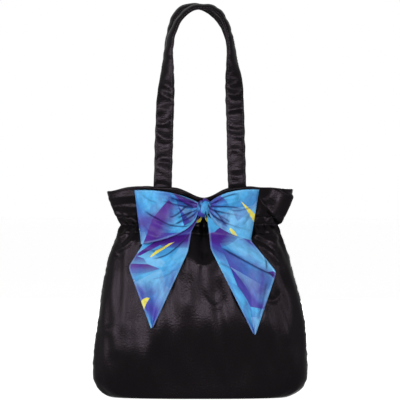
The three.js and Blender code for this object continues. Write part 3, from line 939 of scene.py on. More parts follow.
@dataclass
class BagForm:
    """The bag's rounded wall with its gathers and folds, which every layer of the wall follows."""

    base: Place = (240.0, 66.0)
    body: Place = (302.0, 84.0)
    shoulder: Place = (259.0, 70.0)
    neck: Place = (217.0, 44.0)
    rim: Place = (258.0, 58.0)
    corner_height: float = 36.0
    shoulder_height: float = 190.0
    neck_height: float = 241.0
    casing_bottom: float = 229.0
    casing_top: float = 253.0
    rim_height: float = 292.0
    squareness: float = 2.4
    flare: float = 1.15
    strap_middle: float = 52.0
    half_girth: float = 330.0
    seam_lap: float = 0.0006  # a share of the cloth's length
    pleat_count: int = 19
    mean_half: Place = (132.0, 34.0)
    belly_height: float = 114.0
    belly_spread: float = 38.0
    belly_depth: float = 2.2
    belly_sag: float = 36.0
    tuck_height: float = 112.0
    tuck_depth: float = 7.0
    # The flanks swell by height, the rim by the place across, and the grooves lie at a height
    right_flank: tuple[Swell, ...] = (
        Swell(2.6, 268.0, 32.0),
        Swell(-3.2, 196.0, 34.0),
        Swell(-4.0, 0.0, 9.0),
    )
    left_flank: tuple[Swell, ...] = (Swell(2.4, 95.0, 55.0), Swell(-3.6, 252.0, 34.0))
    rim_dip: Swell = Swell(-14.0, 5.0, 24.0)
    rim_swells: tuple[Swell, ...] = (Swell(2.0, -84.0, 18.0), Swell(0.9, 70.0, 16.0))
    neck_groove: Swell = Swell(-1.0, neck_height, 4.5)
    seam_grooves: tuple[Swell, ...] = (Swell(-0.45, casing_bottom, 1.1), Swell(-0.45, casing_top, 1.1))
    covers: list[Array] = field(default_factory=list)
    front_folds: tuple[FoldLine, ...] = (
        # Tension folds across the left of the ruffle, towards the knot
        ridge(((-129, 280), (-104, 280), (-76, 279)), 1.9, 6, 0.12),
        ridge(((-128, 266), (-105, 266), (-70, 264)), 1.3, 3.8, 0.1),
        ridge(((-125, 261), (-112, 256), (-100, 251), (-82, 244)), 1.4, 3.8, 0.1),
        # Soft slanting folds on the right of the ruffle
        ridge(((130, 286), (118, 264), (100, 248)), 5, 20, 0.12),
        ridge(((104, 295), (96, 282), (84, 275)), -2.4, 9, 0.15),
        # Drag folds that run down and out from under the right loop
        ridge(((70, 231), (92, 221), (116, 206)), 1.7, 4),
        valley(((74, 223), (94, 212), (116, 196)), 1.3, 3),
        ridge(((78, 217), (100, 203), (122, 180)), 1.7, 5.5),
        ridge(((96, 231), (105, 226), (111, 219)), 1, 2.6),
        # Short gathers on the left, below the neck
        ridge(((-96, 236), (-104, 226), (-117, 220)), 1.3, 3),
        valley(((-92, 230), (-104, 218), (-116, 211)), 1.1, 2.6),
        ridge(((-88, 224), (-102, 211), (-120, 203)), 1.2, 3.6),
        # The hollow between the tails, and the slack below it that ends in a rounded roll
        ridge(((7, 262), (7, 235), (6, 208), (5, 184)), -8, 9, 0.3),
        ridge(((25, 205), (23, 172), (20, 142)), -2.2, 9.5, 0.6),
        ridge(((-14, 200), (-17, 150), (-24, 106)), 1.8, 19, 0.4),
        ridge(((3, 156), (9, 138), (19, 128), (30, 133), (38, 150)), 0.5, 4.5),
        ridge(((91, 148), (97, 137), (106, 139), (113, 154)), 1.1, 4.5),
        # Broad drapes down the flanks, and the cloth that puffs out under the neck
        ridge(((-58, 224), (-90, 224), (-118, 222)), 4, 22, 0.2),
        ridge(((60, 222), (92, 222), (114, 220)), 2.5, 22, 0.2),
        ridge(((-24, 196), (-8, 196), (6, 194)), 1.6, 16, 0.2),
        ridge(((-92, 200), (-104, 140), (-100, 80)), 1.6, 22),
        ridge(((-136, 104), (-122, 84), (-118, 52)), 1.4, 8),
        ridge(((118, 178), (127, 120), (124, 70)), 1.4, 10),
    )
    back_folds: tuple[FoldLine, ...] = (
        ridge(((-96, 232), (-104, 208), (-110, 168)), 1.8, 4.5),
        valley(((-84, 230), (-88, 205), (-90, 172)), 1.4, 4),
        ridge(((-40, 226), (-44, 190), (-38, 130)), 1.8, 8),
        valley(((-10, 226), (-6, 186), (-12, 140)), 1.4, 7),
        ridge(((22, 226), (30, 180), (26, 120)), 1.9, 9),
        ridge(((74, 230), (88, 200), (96, 150)), 1.8, 6),
        valley(((92, 231), (104, 206), (112, 176)), 1.4, 4),
    )

    def __post_init__(self) -> None:
        """Works out even steps round the bag and the pleats of each face."""
        angles = np.linspace(0.0, np.pi, 2001)
        across, along = self.outline(angles)
        steps = np.hypot(np.diff(across * self.mean_half[0]), np.diff(along * self.mean_half[1]))
        travelled = np.concatenate([[0.0], np.cumsum(steps)])
        self.even_angles = angles
        self.even_shares = travelled / travelled[-1]
        self.pleats = {Facing.FRONT: self.make_pleats(7), Facing.BACK: self.make_pleats(19)}

    def make_pleats(self, seed: int) -> list[Pleat]:
        """The uneven pleats along one face of the neck.

        Args:
            seed: Which of many sets of pleats.

        Returns:
            The pleats, from one side seam to the other.
        """
        chance = np.random.default_rng(seed)
        spacing = 1.0 / self.pleat_count
        pleats = []
        for i in range(self.pleat_count):
            size = chance.uniform(0.55, 1.0)
            pleats.append(
                Pleat(
                    centre=(i + 0.5 + chance.uniform(-0.34, 0.34)) * spacing,
                    width=spacing * chance.uniform(0.24, 0.4),
                    height=4.6 * size,
                    below=chance.uniform(16.0, 34.0) if chance.random() < 0.6 else chance.uniform(40.0, 78.0),
                    above=chance.uniform(14.0, 30.0),
                    drift=chance.uniform(-0.0005, 0.0005),
                )
            )
        return pleats

    def outline(self, angle: Array) -> tuple[Array, Array]:
        """The bag's rounded outline, for half sizes of 1.

        Args:
            angle: Angles round the bag, 0 at the right side.

        Returns:
            Places across the bag, and from the front to the back.
        """
        c, s = np.cos(angle), np.sin(angle)
        reach = (np.abs(c) ** self.squareness + np.abs(s) ** self.squareness) ** (-1.0 / self.squareness)
        return c * reach, s * reach

    def half_size(self, height: Array, axis: int) -> Array:
        """Half the bag's width or depth above its rounded base corners.

        Args:
            height: Heights.
            axis: 0 for the width, 1 for the depth.

        Returns:
            The half size at each height.
        """
        knots = (self.corner_height, self.shoulder_height, self.neck_height)
        values = [size[axis] / 2.0 for size in (self.body, self.shoulder, self.neck)]
        spans = (knots[1] - knots[0], knots[2] - knots[1])
        before, after = (values[1] - values[0]) / spans[0], (values[2] - values[1]) / spans[1]
        slopes = (0.0, 2.0 * before * after / (before + after), after)
        total = np.zeros(np.shape(height))
        for i in (0, 1):
            t = np.clip((height - knots[i]) / spans[i], 0.0, 1.0)
            lead = spans[i] * (slopes[i] * t * (1 - t) ** 2 - slopes[i + 1] * t * t * (1 - t))
            part = mix(values[i], values[i + 1], t * t * (3 - 2 * t)) + lead
            total = np.where(height > knots[i], part, total) if i else part
        share = np.clip((height - self.neck_height) / (self.rim_height - self.neck_height), 0.0, 1.0)
        above = mix(values[2], self.rim[axis] / 2.0, 1.0 - (1.0 - share) ** self.flare)
        return np.where(height > self.neck_height, above, total)

    def section(self, station: Array) -> tuple[Array, Array, Array]:
        """The level section at a station.

        Args:
            station: 0 to 1 rounds the base corner, 1 to 2 climbs from there to the rim.

        Returns:
            The height, half width and half depth there.
        """
        turn = np.clip(station, 0.0, 1.0) * np.pi / 2.0
        climb = mix(self.corner_height, self.rim_height, np.clip(station, 1.0, 2.0) - 1.0)
        height = np.where(station > 1.0, climb, self.corner_height * (1.0 - np.cos(turn)))
        sizes = [
            np.where(
                station > 1.0,
                self.half_size(climb, axis),
                mix(self.base[axis], self.body[axis], np.sin(turn)) / 2.0,
            )
            for axis in (0, 1)
        ]
        return height, sizes[0], sizes[1]

    def station_at(self, height: Array) -> Array:
        """Turns heights into stations.

        Args:
            height: Heights.

        Returns:
            The station of each height.
        """
        corner = np.clip(1.0 - height / self.corner_height, -1.0, 1.0)
        climb = 1.0 + (height - self.corner_height) / (self.rim_height - self.corner_height)
        return np.where(height > self.corner_height, climb, np.arccos(corner) * 2.0 / np.pi)

    def front_at(self, x: Array, height: Array) -> Array:
        """How far the front of the smooth bag stands forward of its middle.

        Args:
            x: Places across the bag.
            height: Heights.

        Returns:
            The distance at each place.
        """
        _, a, b = self.section(self.station_at(height))
        across = np.clip(np.abs(x / a), 0.0, 1.0)
        return b * (1.0 - across**self.squareness) ** (1.0 / self.squareness)

    def share_at(self, x: float, station: float) -> float:
        """How far along the front's cloth a place lies.

        Args:
            x: The place across the bag.
            station: How far up the wall.

        Returns:
            The share of the cloth's length, 0 at the left seam.
        """
        _, a, _ = self.section(np.array(station))
        across = np.clip(x / a, -1.0, 1.0)
        angle = np.arctan2((1.0 - np.abs(across) ** self.squareness) ** (1.0 / self.squareness), across)
        return float(1.0 - np.interp(angle, self.even_angles, self.even_shares))

    def point(self, facing: Facing, share: Array, station: Array, depth: Array) -> Array:
        """Points of the wall, under its outer face, with its gathers and folds.

        Args:
            facing: Front or back.
            share: How far along the face's cloth, from one side seam at 0 to the other at 1.
            station: How far up the wall.
            depth: How far under the outer face.

        Returns:
            The points.
        """
        angle = np.interp(share, self.even_shares, self.even_angles)
        angle = angle - np.pi if facing is Facing.FRONT else angle
        height, a, b = self.section(station)
        step = 1e-3
        high, high_a, high_b = self.section(np.minimum(station + step, 2.0))
        low, low_a, low_b = self.section(np.maximum(station - step, 0.0))
        across, along = self.outline(angle)
        climb = high - low
        spread = np.abs(across) ** self.squareness * (high_a - low_a) / a
        spread = spread + np.abs(along) ** self.squareness * (high_b - low_b) / b
        normal = np.stack(
            np.broadcast_arrays(
                power(across, self.squareness - 1.0) / a * climb,
                power(along, self.squareness - 1.0) / b * climb,
                -spread,
            ),
            axis=-1,
        )
        x = a * across
        lifted = self.lift(facing, share, x, height)
        ground = np.stack(np.broadcast_arrays(x, b * along, height + self.settle(facing, x, height)), axis=-1)
        return self.lean(ground + unit(normal) * (lifted - depth)[..., None])

    def settle(self, facing: Facing, x: Array, height: Array) -> Array:
        """How far the ruffle has risen or sunk, growing from the casing to the rim.

        Args:
            facing: Front or back.
            x: Places across the bag.
            height: Heights on the smooth wall.

        Returns:
            The rise at each place.
        """
        share = np.clip((height - self.casing_top) / (self.rim_height - self.casing_top), 0.0, 1.0)
        sides = -5.0 * ease((-x - 98.0) / 30.0) - 2.0 * ease((x - 95.0) / 32.0)
        swells = sum(swell.at(x) for swell in self.rim_swells)
        if facing is Facing.BACK:
            swells = 1.2 * ripple(x, 0.0 * x, 5, 45.0, 120.0) * ease((112.0 - np.abs(x)) / 24.0)
        return share * (self.rim_dip.at(x) + sides + swells)

    def lean(self, points: Array) -> Array:
        """Leans the flanks: the right one hangs straighter than the left, and the ruffle spreads a little.

        Args:
            points: Points of the bag.

        Returns:
            The points, moved across the bag.
        """
        x, z = points[..., 0], points[..., 2]
        right, left = (sum(swell.at(z) for swell in flank) for flank in (self.right_flank, self.left_flank))
        moved = points.copy()
        moved[..., 0] = x + ease((x - 60.0) / 75.0) * right + ease((-x - 60.0) / 75.0) * left
        return moved

    def lift(self, facing: Facing, share: Array, x: Array, height: Array) -> Array:
        """How far gathers, folds and seams lift the cloth off the smooth wall.

        Args:
            facing: Front or back.
            share: How far along the face's cloth.
            x: Place across the bag.
            height: Height on the smooth wall.

        Returns:
            The outward lift.
        """
        share, x, height = np.broadcast_arrays(share, x, height)
        seed = 11 if facing is Facing.FRONT else 43
        girth = share * self.half_girth
        from_seam = np.minimum(share, 1.0 - share) * self.half_girth
        above = np.clip((height - self.neck_height) / (self.rim_height - self.neck_height), 0.0, 1.0)
        total = self.gathers(facing, share, height)
        for fold in self.front_folds if facing is Facing.FRONT else self.back_folds:
            total += fold.lift(x, height) * ease(from_seam / 12.0)
        body = ease((height - 14.0) / 50.0) * ease((236.0 - height) / 40.0)
        total += 1.2 * body * ripple(girth, height * 0.4, seed, 38.0, 140.0)
        total += 0.7 * body * ripple(girth, height * 0.3, seed + 5, 15.0, 42.0)
        belly = bell((height - self.belly_height + self.sag(facing, x)) / self.belly_spread)
        total += self.belly_depth * belly * ease((from_seam - 8.0) / 70.0)
        rim = 2.3 * above**1.4 * ripple(girth, height * 0.12, seed + 2, 26.0, 80.0)
        held = ease((np.abs(np.abs(x) - self.strap_middle) - 15.0) / 14.0)
        total += rim * ease(from_seam / 16.0) * mix(0.12, 1.0, held)
        for groove in (self.neck_groove, *self.seam_grooves):
            total += groove.at(height)
        puckers = 0.5 * ripple(0.0 * height, height, seed + 3, 7.0, 19.0) * bell(from_seam / 9.0)
        total -= 1.3 * bell(from_seam / 1.9)
        total += puckers * ease(height / 20.0)
        creases = ripple(girth, height * 0.4, seed + 4, 9.0, 26.0) * ease((70.0 - from_seam) / 60.0)
        total += 0.7 * ease((44.0 - height) / 40.0) * ease(height / 8.0) * creases
        if facing is Facing.FRONT:
            total -= np.maximum(total - 1.8, 0.0) * self.covered(x, height)
        flat = np.clip(total, -0.3, 0.3)
        total = np.where(held < 1.0, mix(flat, total, mix(held, 1.0, 1.0 - above)), total)
        return total * ease(height / 5.0) - self.tuck(facing, x, height) * ease((from_seam - 8.0) / 70.0)

    def sag(self, facing: Facing, x: Array) -> Array:
        """How much lower the belly hangs towards the front's left side."""
        return self.belly_sag * ease((-x - 42.0) / 40.0) if facing is Facing.FRONT else 0.0 * x

    def tuck(self, facing: Facing, x: Array, height: Array) -> Array:
        """How far the cloth below the belly is drawn in under it.

        Args:
            facing: Front or back.
            x: Places across the bag.
            height: Heights on the smooth wall.

        Returns:
            The inward distance at each place.
        """
        start = self.tuck_height + 6.0 * ripple(x, 0.0 * x, 23, 30.0, 90.0) - self.sag(facing, x)
        corner = np.sqrt(1.0 - np.clip(1.0 - height / self.corner_height, 0.0, 1.0) ** 2)
        return self.tuck_depth * corner * ease((start - height) / 100.0)

    def gathers(self, facing: Facing, share: Array, height: Array) -> Array:
        """The pleats that spread up and down from the drawn-in neck.

        Args:
            facing: Front or back.
            share: How far along the face's cloth.
            height: Heights on the smooth wall.

        Returns:
            The outward lift at each place.
        """
        away = height - self.neck_height
        total = np.zeros(share.shape)
        for pleat in self.pleats[facing]:
            reach = np.where(away < 0.0, pleat.below, pleat.above)
            hold = np.exp(-((np.abs(away) / reach) ** 1.5))
            width = pleat.width * (1.0 + np.abs(away) / 55.0)
            offset = (share - pleat.centre - pleat.drift * away) / width
            total = total + pleat.height * hold * (bell(offset) - 0.5 * bell(offset / 2.0))
        return total

    def covered(self, x: Array, height: Array) -> Array:
        """Where the bow's tails hang against the front.

        Args:
            x: Places across the bag.
            height: Heights.

        Returns:
            1 behind a tail, falling to 0 beside it.
        """
        most = np.zeros(x.shape)
        for corners in self.covers:
            inside = np.full(x.shape, np.inf)
            for start, end in zip(corners, np.roll(corners, -1, axis=0)):
                run = (end - start) / np.linalg.norm(end - start)
                inside = np.minimum(inside, run[0] * (height - start[1]) - run[1] * (x - start[0]))
            most = np.maximum(most, ease((inside + 5.0) / 5.0))
        return most

    def layer(
        self,
        facing: Facing,
        stations: Array,
        outer: float,
        inner: float,
        columns: int,
        span: Place = (0.0, 1.0),
    ) -> tuple[Array, Array]:
        """Two faces of one layer of the wall.

        Args:
            facing: Front or back.
            stations: Stations of its rows, from the lowest.
            outer: Depth of its outer face.
            inner: Depth of its inner face.
            columns: Steps across it.
            span: Where along the cloth it starts and ends.

        Returns:
            Grids of the outer and the inner face.
        """
        even = np.linspace(-self.seam_lap, 1.0 + self.seam_lap, columns + 1)
        inside = even[(even > span[0]) & (even < span[1])]
        share, station = np.meshgrid(np.concatenate([span[:1], inside, span[1:]]), stations)
        outside = self.point(facing, share, station, np.full(share.shape, outer))
        return outside, self.point(facing, share, station, np.full(share.shape, inner))


# Pieces of the bag


def dress(
    piece: Piece,
    nodes: tuple[str, ...],
) -> None:
    """Says which solids a piece stands for, and hides them.

    Args:
        piece: The piece.
        nodes: Solids that it replaces.
    """
    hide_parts(*nodes)
    LOG.info("%s: %d faces, stands for %s", piece.name, len(piece.data.polygons), ", ".join(nodes))


@dataclass
class SoftShell:
    """The bag's outer cloth, lining, casing and base."""

    form: BagForm
    finishes: Finishes
    # Thicknesses of the cloths, and of the gap between two of them
    satin: float = 0.9
    lining: float = 0.7
    gap: float = 0.3
    sash: float = 1.2
    columns: int = 300
    gathered_from: float = 180.0
    lining_bottom: float = 3.2
    tuck_heights: Place = (0.6, 7.0)  # above the casing
    tuck_depths: Place = (1.15, 1.55)
    facing_depths: Place = (1.65, 3.55)
    panel_cut: Place = (352.0, 286.0)
    lining_cut: Place = (345.0, 258.0)
    casing_cut: Place = (262.0, 26.0)
    ruffle_cut: Place = (296.0, 82.0)
    base_half: Place = (119.6, 32.6)
    floor_half: Place = (124.0, 30.6)
    floor_height: float = 3.5
    base_cut: Place = (246.0, 72.0)
    base_area: float = 14700.0  # the base is cut to a rounded outline

    def build(self) -> None:
        """Builds every piece of the shell."""
        for facing in Facing:
            self.build_panel(facing)
            self.build_lining(facing)
            self.build_casing(facing)
            self.build_ruffle(facing)
        self.build_floor("base_cloth", "base_panel", self.base_half, 0.0, self.satin, "satin")
        inner = (self.floor_half, self.floor_height, self.lining)
        self.build_floor("base_lining_cloth", "base_lining", *inner, "lining")
        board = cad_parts["base_board"]
        board.data.materials.clear()
        board.data.materials.append(self.finishes.board)

    def panel_stations(self) -> Array:
        """Rows of a panel, closer together where the cloth is gathered.

        Returns:
            The rows' stations, from the lowest.
        """
        corner = np.linspace(0.0, 1.0, 34, endpoint=False)
        belly = np.linspace(self.form.corner_height, self.gathered_from, 90, endpoint=False)
        neck = np.linspace(self.gathered_from, self.form.casing_top - 0.1, 76)
        return np.concatenate([corner, self.form.station_at(belly), self.form.station_at(neck)])

    def build_panel(self, facing: Facing) -> None:
        """One outer panel, with an edge that is tucked up behind the ruffle.

        Args:
            facing: Front or back.
        """
        stations = self.panel_stations()
        span = (-self.form.seam_lap, 1.0 + self.form.seam_lap)
        near, far = self.form.layer(facing, stations, 0.0, self.satin, self.columns, span)
        tucked = self.form.station_at(self.form.casing_top + np.array(self.tuck_heights))
        tuck_near, tuck_far = self.form.layer(facing, tucked, *self.tuck_depths, self.columns, span)
        near, far = np.concatenate([near, tuck_near]), np.concatenate([far, tuck_far])
        name = facing.name.lower()
        piece = cloth_piece(f"{name}_body_cloth", near, far, cloth_lengths(near), self.finishes.satin)
        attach(piece, "bag")
        dress(piece, (f"{name}_panel",))

    def build_lining(self, facing: Facing) -> None:
        """One lining panel, from the floor of the bag to the casing.

        Args:
            facing: Front or back.
        """
        outer = self.satin + self.gap
        heights = np.linspace(self.lining_bottom, self.form.casing_bottom - self.gap, 96)
        stations = self.form.station_at(heights)
        near, far = self.form.layer(facing, stations, outer, outer + self.lining, self.columns // 2)
        near, far = far[:, ::-1], near[:, ::-1]
        name = facing.name.lower()
        piece = cloth_piece(f"{name}_lining_cloth", near, far, cloth_lengths(near), self.finishes.lining)
        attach(piece, "bag")
        dress(piece, (f"{name}_lining",))

    def build_casing(self, facing: Facing) -> None:
        """The strip sewn inside the neck, which the sash runs behind.

        Args:
            facing: Front or back.
        """
        outer = self.satin + 2.0 * self.gap + self.sash
        stations = self.form.station_at(np.linspace(self.form.casing_bottom, self.form.casing_top, 20))
        near, far = self.form.layer(facing, stations, outer, outer + self.lining, self.columns // 2)
        near, far = far[:, ::-1], near[:, ::-1]
        name = facing.name.lower()
        piece = cloth_piece(f"{name}_casing_cloth", near, far, cloth_lengths(near), self.finishes.lining)
        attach(piece, "bag")
        dress(piece, (f"{name}_casing",))

    def facing_depth(self, x: Array) -> Array:
        """Depth of the middle of the facing, which stands off the ruffle over a strap's end."""
        away = np.abs(np.abs(x) - self.form.strap_middle)
        return mix(*self.facing_depths, 1.0 - ease((away - 18.0) / 14.0))

    def build_ruffle(self, facing: Facing) -> None:
        """The ruffle and its facing, one strip folded over at the rim.

        Args:
            facing: Front or back.
        """
        form = self.form
        climb = form.station_at(np.linspace(form.casing_top + 0.2, form.rim_height, 40))
        turn = np.linspace(0.0, np.pi, 9)[1:-1]
        share, station = np.meshgrid(
            np.linspace(-form.seam_lap, 1.0 + form.seam_lap, self.columns + 1),
            np.concatenate([climb, np.full(len(turn), 2.0), climb[::-1]]),
        )
        ground = form.point(facing, share, station, np.zeros(share.shape))
        near_depth, far_depth = self.satin / 2.0, self.facing_depth(ground[..., 0])
        middle, radius = (near_depth + far_depth) / 2.0, (far_depth - near_depth) / 2.0
        angle = np.concatenate([np.zeros(len(climb)), turn, np.full(len(climb), np.pi)])[:, None]
        folded = form.point(facing, share, station, middle - radius * np.cos(angle))
        folded[..., 2] += radius * np.sin(angle)
        near, far = both_faces(folded, self.satin)
        name = facing.name.lower()
        uv = cloth_lengths(folded)
        piece = cloth_piece(f"{name}_ruffle_cloth", near, far, uv, self.finishes.satin)
        if facing is Facing.FRONT:
            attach(piece, "bag")
        else:
            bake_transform(piece)
        nodes = (f"{name}_ruffle", f"{name}_facing")
        dress(piece, nodes)

    def build_floor(
        self, name: str, node: str, half: Place, bottom: float, thickness: float, slot: str
    ) -> None:
        """A flat piece of cloth with the bag's rounded outline.

        Args:
            name: The piece's name.
            node: The solid that it stands for.
            half: Half its width and depth.
            bottom: Height of its lower face.
            thickness: Its thickness.
            slot: Its material slot.
        """
        across, along = self.form.outline(np.linspace(0.0, 2.0 * np.pi, 241))
        edge = self.form.lean(np.stack([across * half[0], along * half[1], 0.0 * across], axis=-1))
        shares = np.linspace(0.06, 1.0, 26)[:, None, None]
        rings = edge[None, :-1] * shares
        upper, lower = rings.copy(), rings.copy()
        upper[..., 2] = bottom + thickness
        lower[..., 2] = bottom
        loop = np.concatenate([upper, lower[::-1]])
        draft = MeshDraft()
        place = np.concatenate([loop, loop[:, :1]], axis=1)[..., :2]
        draft.add_tube(loop, place)
        material = self.finishes.satin if slot == "satin" else self.finishes.lining
        piece = draft.make(name, [material])
        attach(piece, "bag")
        dress(piece, (node,))


@dataclass
class Strap:
    """One sewn shoulder strap: a satin tube over a stiff core, puckered by its two rows of stitches."""

    facing: Facing
    finishes: Finishes
    height: float
    lean: float
    twist: float  # in degrees
    seed: int
    hinge_y: float = 25.59
    hinge_z: float = 293.9
    width: float = 25.0
    thickness: float = 3.6
    spacing: float = 104.0
    crown_width: float = 94.0
    crown_height: float = 76.0
    crown_point: float = 1.12
    twist_lengths: Place = (165.0, 105.0)
    twist_leads: Place = (105.0, 65.0)
    cupping: float = 52.0  # in degrees
    foot: float = 11.0
    stitch_pitch: float = 4.2
    stitch_length: float = 3.0
    stitch_inset: float = 2.4
    points_round: int = 28
    ring_step: float = 2.0
    cover_girth: float = 54.0
    thread_radius: float = 0.3

    def line(self, t: Array) -> Array:
        """The middle line, which goes on into the rim beyond its hinges.

        Args:
            t: Places along it, 0 at the left hinge and 3 at the right one.

        Returns:
            The points.
        """
        leg = self.height - self.crown_height
        turn = (np.clip(t, 1.0, 2.0) - 1.0) * np.pi
        rise = np.sin(turn)
        lean = self.lean * rise**2 * (1.0 + 0.3 * np.cos(turn))
        crown_x = lean - self.crown_width / 2.0 * power(np.cos(turn), self.crown_point)
        share = np.minimum(t, 3.0 - t)
        apart = mix(self.spacing, self.crown_width, np.maximum(share, 0.0))
        leg_x = np.where(t < 1.5, -0.5, 0.5) * apart
        crown = (t > 1.0) & (t < 2.0)
        x = np.where(crown, crown_x, leg_x)
        z = np.where(crown, leg + self.crown_height * rise, leg * share)
        return np.stack([x, self.facing.value * self.hinge_y + 0.0 * x, self.hinge_z + z], axis=-1)

    def even_marks(self, step: float) -> tuple[Array, Array]:
        """Places along the line that are an even distance apart.

        Args:
            step: The distance.

        Returns:
            The places, and how far along the strap they lie.
        """
        leg = self.height - self.crown_height
        fine = np.linspace(-self.foot / leg, 3.0 + self.foot / leg, 6001)
        points = self.line(fine)
        travelled = np.concatenate([[0.0], np.cumsum(np.linalg.norm(np.diff(points, axis=0), axis=-1))])
        distance = np.linspace(0.0, travelled[-1], int(travelled[-1] / step) + 1)
        return np.interp(distance, travelled, fine), distance

    def turned(self, t: Array) -> Array:
        """How far the strap has turned from its legs towards its crown.

        Args:
            t: Places along the line.

        Returns:
            The share of the turn, 0 on a leg and 1 at the crown.
        """
        leg = self.height - self.crown_height
        end = np.minimum(t, 3.0 - t)
        past_leg = np.where(end < 1.0, (end - 1.0) * leg, (end - 1.0) * self.crown_height * 2.4)
        lead, length = (np.where(t < 1.5, *pair) for pair in (self.twist_leads, self.twist_lengths))
        return ease((past_leg + lead) / length)

    def frames(self, t: Array) -> tuple[Array, Array, Array]:
        """How the strap lies along its line.

        Args:
            t: Places along the line.

        Returns:
            The line's points, and the directions across and through the strap there.
        """
        step = 2e-3
        along = unit(self.line(t + step) - self.line(t - step))
        outward = np.stack([-along[..., 2], 0.0 * t, along[..., 0]], axis=-1)
        twist = math.radians(self.twist) * self.turned(t)
        across = outward * np.cos(twist)[..., None] + np.array([0.0, 1.0, 0.0]) * np.sin(twist)[..., None]
        return self.line(t), across, np.cross(along, across)

    def surface(self, t: Array, distance: Array, angle: Array, length: float) -> Array:
        """Points of the puckered cover.

        Args:
            t: Places along the line.
            distance: Their distances along the strap.
            angle: Angles round the strap's section, 0 at one edge and a quarter turn on one face.
            length: The strap's whole length.

        Returns:
            The points.
        """
        middle, across, through = self.frames(t)
        c, s = np.cos(angle), np.sin(angle)
        place = power(c, 0.5)
        inside = np.clip(1.0 - np.abs(place) ** 3, 0.0, 1.0)
        top = np.where(s >= 0.0, 1.0, -1.0)
        w = self.width / 2.0 * place
        pucker = ripple(distance, w * 1.3, self.seed, 9.0, 34.0) * np.where(top > 0, 1.0, 0.7)
        stitch = bell((self.width / 2.0 - np.abs(w) - self.stitch_inset) / 0.8)
        foot = ease((np.minimum(distance, length - distance) - 6.0) / 10.0)
        slack = 0.45 * pucker + 0.6 - 1.6 * self.dents(distance, w, length)
        swell = slack * mix(1.0, 0.6, self.turned(t))
        half = self.thickness / 2.0 * mix(0.36, 1.0, foot)
        h = half * power(s, 0.75) + top * inside * foot * (swell - 0.4 * stitch)
        edge = 0.5 * ripple(distance, 0.0 * distance, self.seed + 2, 10.0, 30.0) * foot
        w = w * (1.0 + edge / 12.5)
        bend = np.radians(np.maximum(self.cupping * self.turned(t), 0.5))
        radius = self.width / 2.0 / bend
        aside = (radius + h) * np.sin(w / radius)
        above = (radius + h) * np.cos(w / radius) - radius
        return middle + across * aside[..., None] + through * above[..., None]

    def dents(self, distance: Array, w: Array, length: float) -> Array:
        """Bowed dents across the cover, where it is fuller than the band inside it, from 0 to 1.

        Args:
            distance: Distances along the strap.
            w: Distances across it from its middle.
            length: The strap's whole length.

        Returns:
            How deep each place lies in a dent.
        """
        chance = np.random.default_rng(self.seed + 1)
        total = np.zeros(distance.shape)
        centre = 16.0
        while centre < length:
            bow, tilt, depth, reach = chance.uniform((-8.0, -0.5, 0.5, 3.4), (8.0, 0.5, 1.0, 6.2))
            along = distance - centre - tilt * w - bow * np.abs(2.0 * w / self.width) ** 1.4
            total = np.maximum(total, depth * bell(along / reach))
            centre += chance.uniform(14.0, 24.0)
        return total

    def build(self) -> None:
        """Builds the strap with its stitches."""
        draft = MeshDraft()
        t, distance = self.even_marks(self.ring_step)
        angle = np.linspace(0.0, 2.0 * np.pi, self.points_round + 1)
        grid_t, grid_angle = np.meshgrid(t, angle, indexing="ij")
        grid_distance = np.repeat(distance[:, None], len(angle), axis=1)
        rings = self.surface(grid_t, grid_distance, grid_angle, distance[-1])
        uv = np.stack([grid_angle / (2.0 * np.pi) * self.cover_girth, grid_distance], axis=-1)
        draft.add_tube(rings[:, :-1], uv)
        self.add_stitches(draft, distance[-1])
        name = self.facing.name.lower()
        piece = draft.make(f"{name}_strap", [self.finishes.satin, self.finishes.thread])
        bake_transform(piece)
        nodes = (f"{name}_strap_cover", f"{name}_strap_core")
        ends = (f"{name}_left_strap_end", f"{name}_right_strap_end")
        dress(piece, nodes + ends)

    def add_stitches(self, draft: MeshDraft, length: float) -> None:
        """Adds two rows of stitches to each face.

        Args:
            draft: The strap's mesh.
            length: The strap's whole length.
        """
        t, distance = self.even_marks(0.5)
        place = 1.0 - 2.0 * self.stitch_inset / self.width
        turn = math.acos(place**2.0)
        starts = np.arange(self.foot + 6.0, length - self.foot - 9.0, self.stitch_pitch)
        bend = np.linspace(0.0, 1.0, 6)
        radius = self.thread_radius * np.sin(np.pi * np.clip(bend, 0.06, 0.94)) ** 0.5
        round_it = np.linspace(0.0, 2.0 * np.pi, 6, endpoint=False)
        for row in (turn, np.pi - turn, -turn, np.pi + turn):
            for start in starts:
                along = start + self.stitch_length * bend
                marks = np.interp(along, distance, t)
                seat = self.surface(marks, along, np.full(len(bend), row), length)
                _, across, through = self.frames(marks)
                outward = through * (1.0 if math.sin(row) > 0 else -1.0)
                centre = seat + outward * (0.16 - 0.3 * (1.0 - np.sin(np.pi * bend)))[:, None]
                ring = across[:, None] * np.cos(round_it)[None, :, None]
                ring = ring + outward[:, None] * np.sin(round_it)[None, :, None]
                rings = centre[:, None] + ring * radius[:, None, None]
                uv = np.zeros((len(bend), len(round_it) + 1, 2))
                draft.add_tube(rings, uv, slot=1)


@dataclass(frozen=True)
class BowSide:
    """One side of the bow, as places out from the knot's middle and up from it."""

    side: Side
    loop_top: Place
    loop_top_pull: Place
    loop_bottom: Place
    loop_bottom_pull: Place
    tail_outer: Place
    tail_shoulder: Place
    tail_inner: Place
    tail_corner: Place
    tail_tip: Place
    loop_folds: tuple[FoldLine, ...]
    tail_folds: tuple[FoldLine, ...]
    print_at: Place
    tail_print_at: Place
    loop_cut: Place
    tail_cut: Place
    tail_area: float

    @property
    def name(self) -> str:
        """The side's name in piece names."""
        return self.side.name.lower()


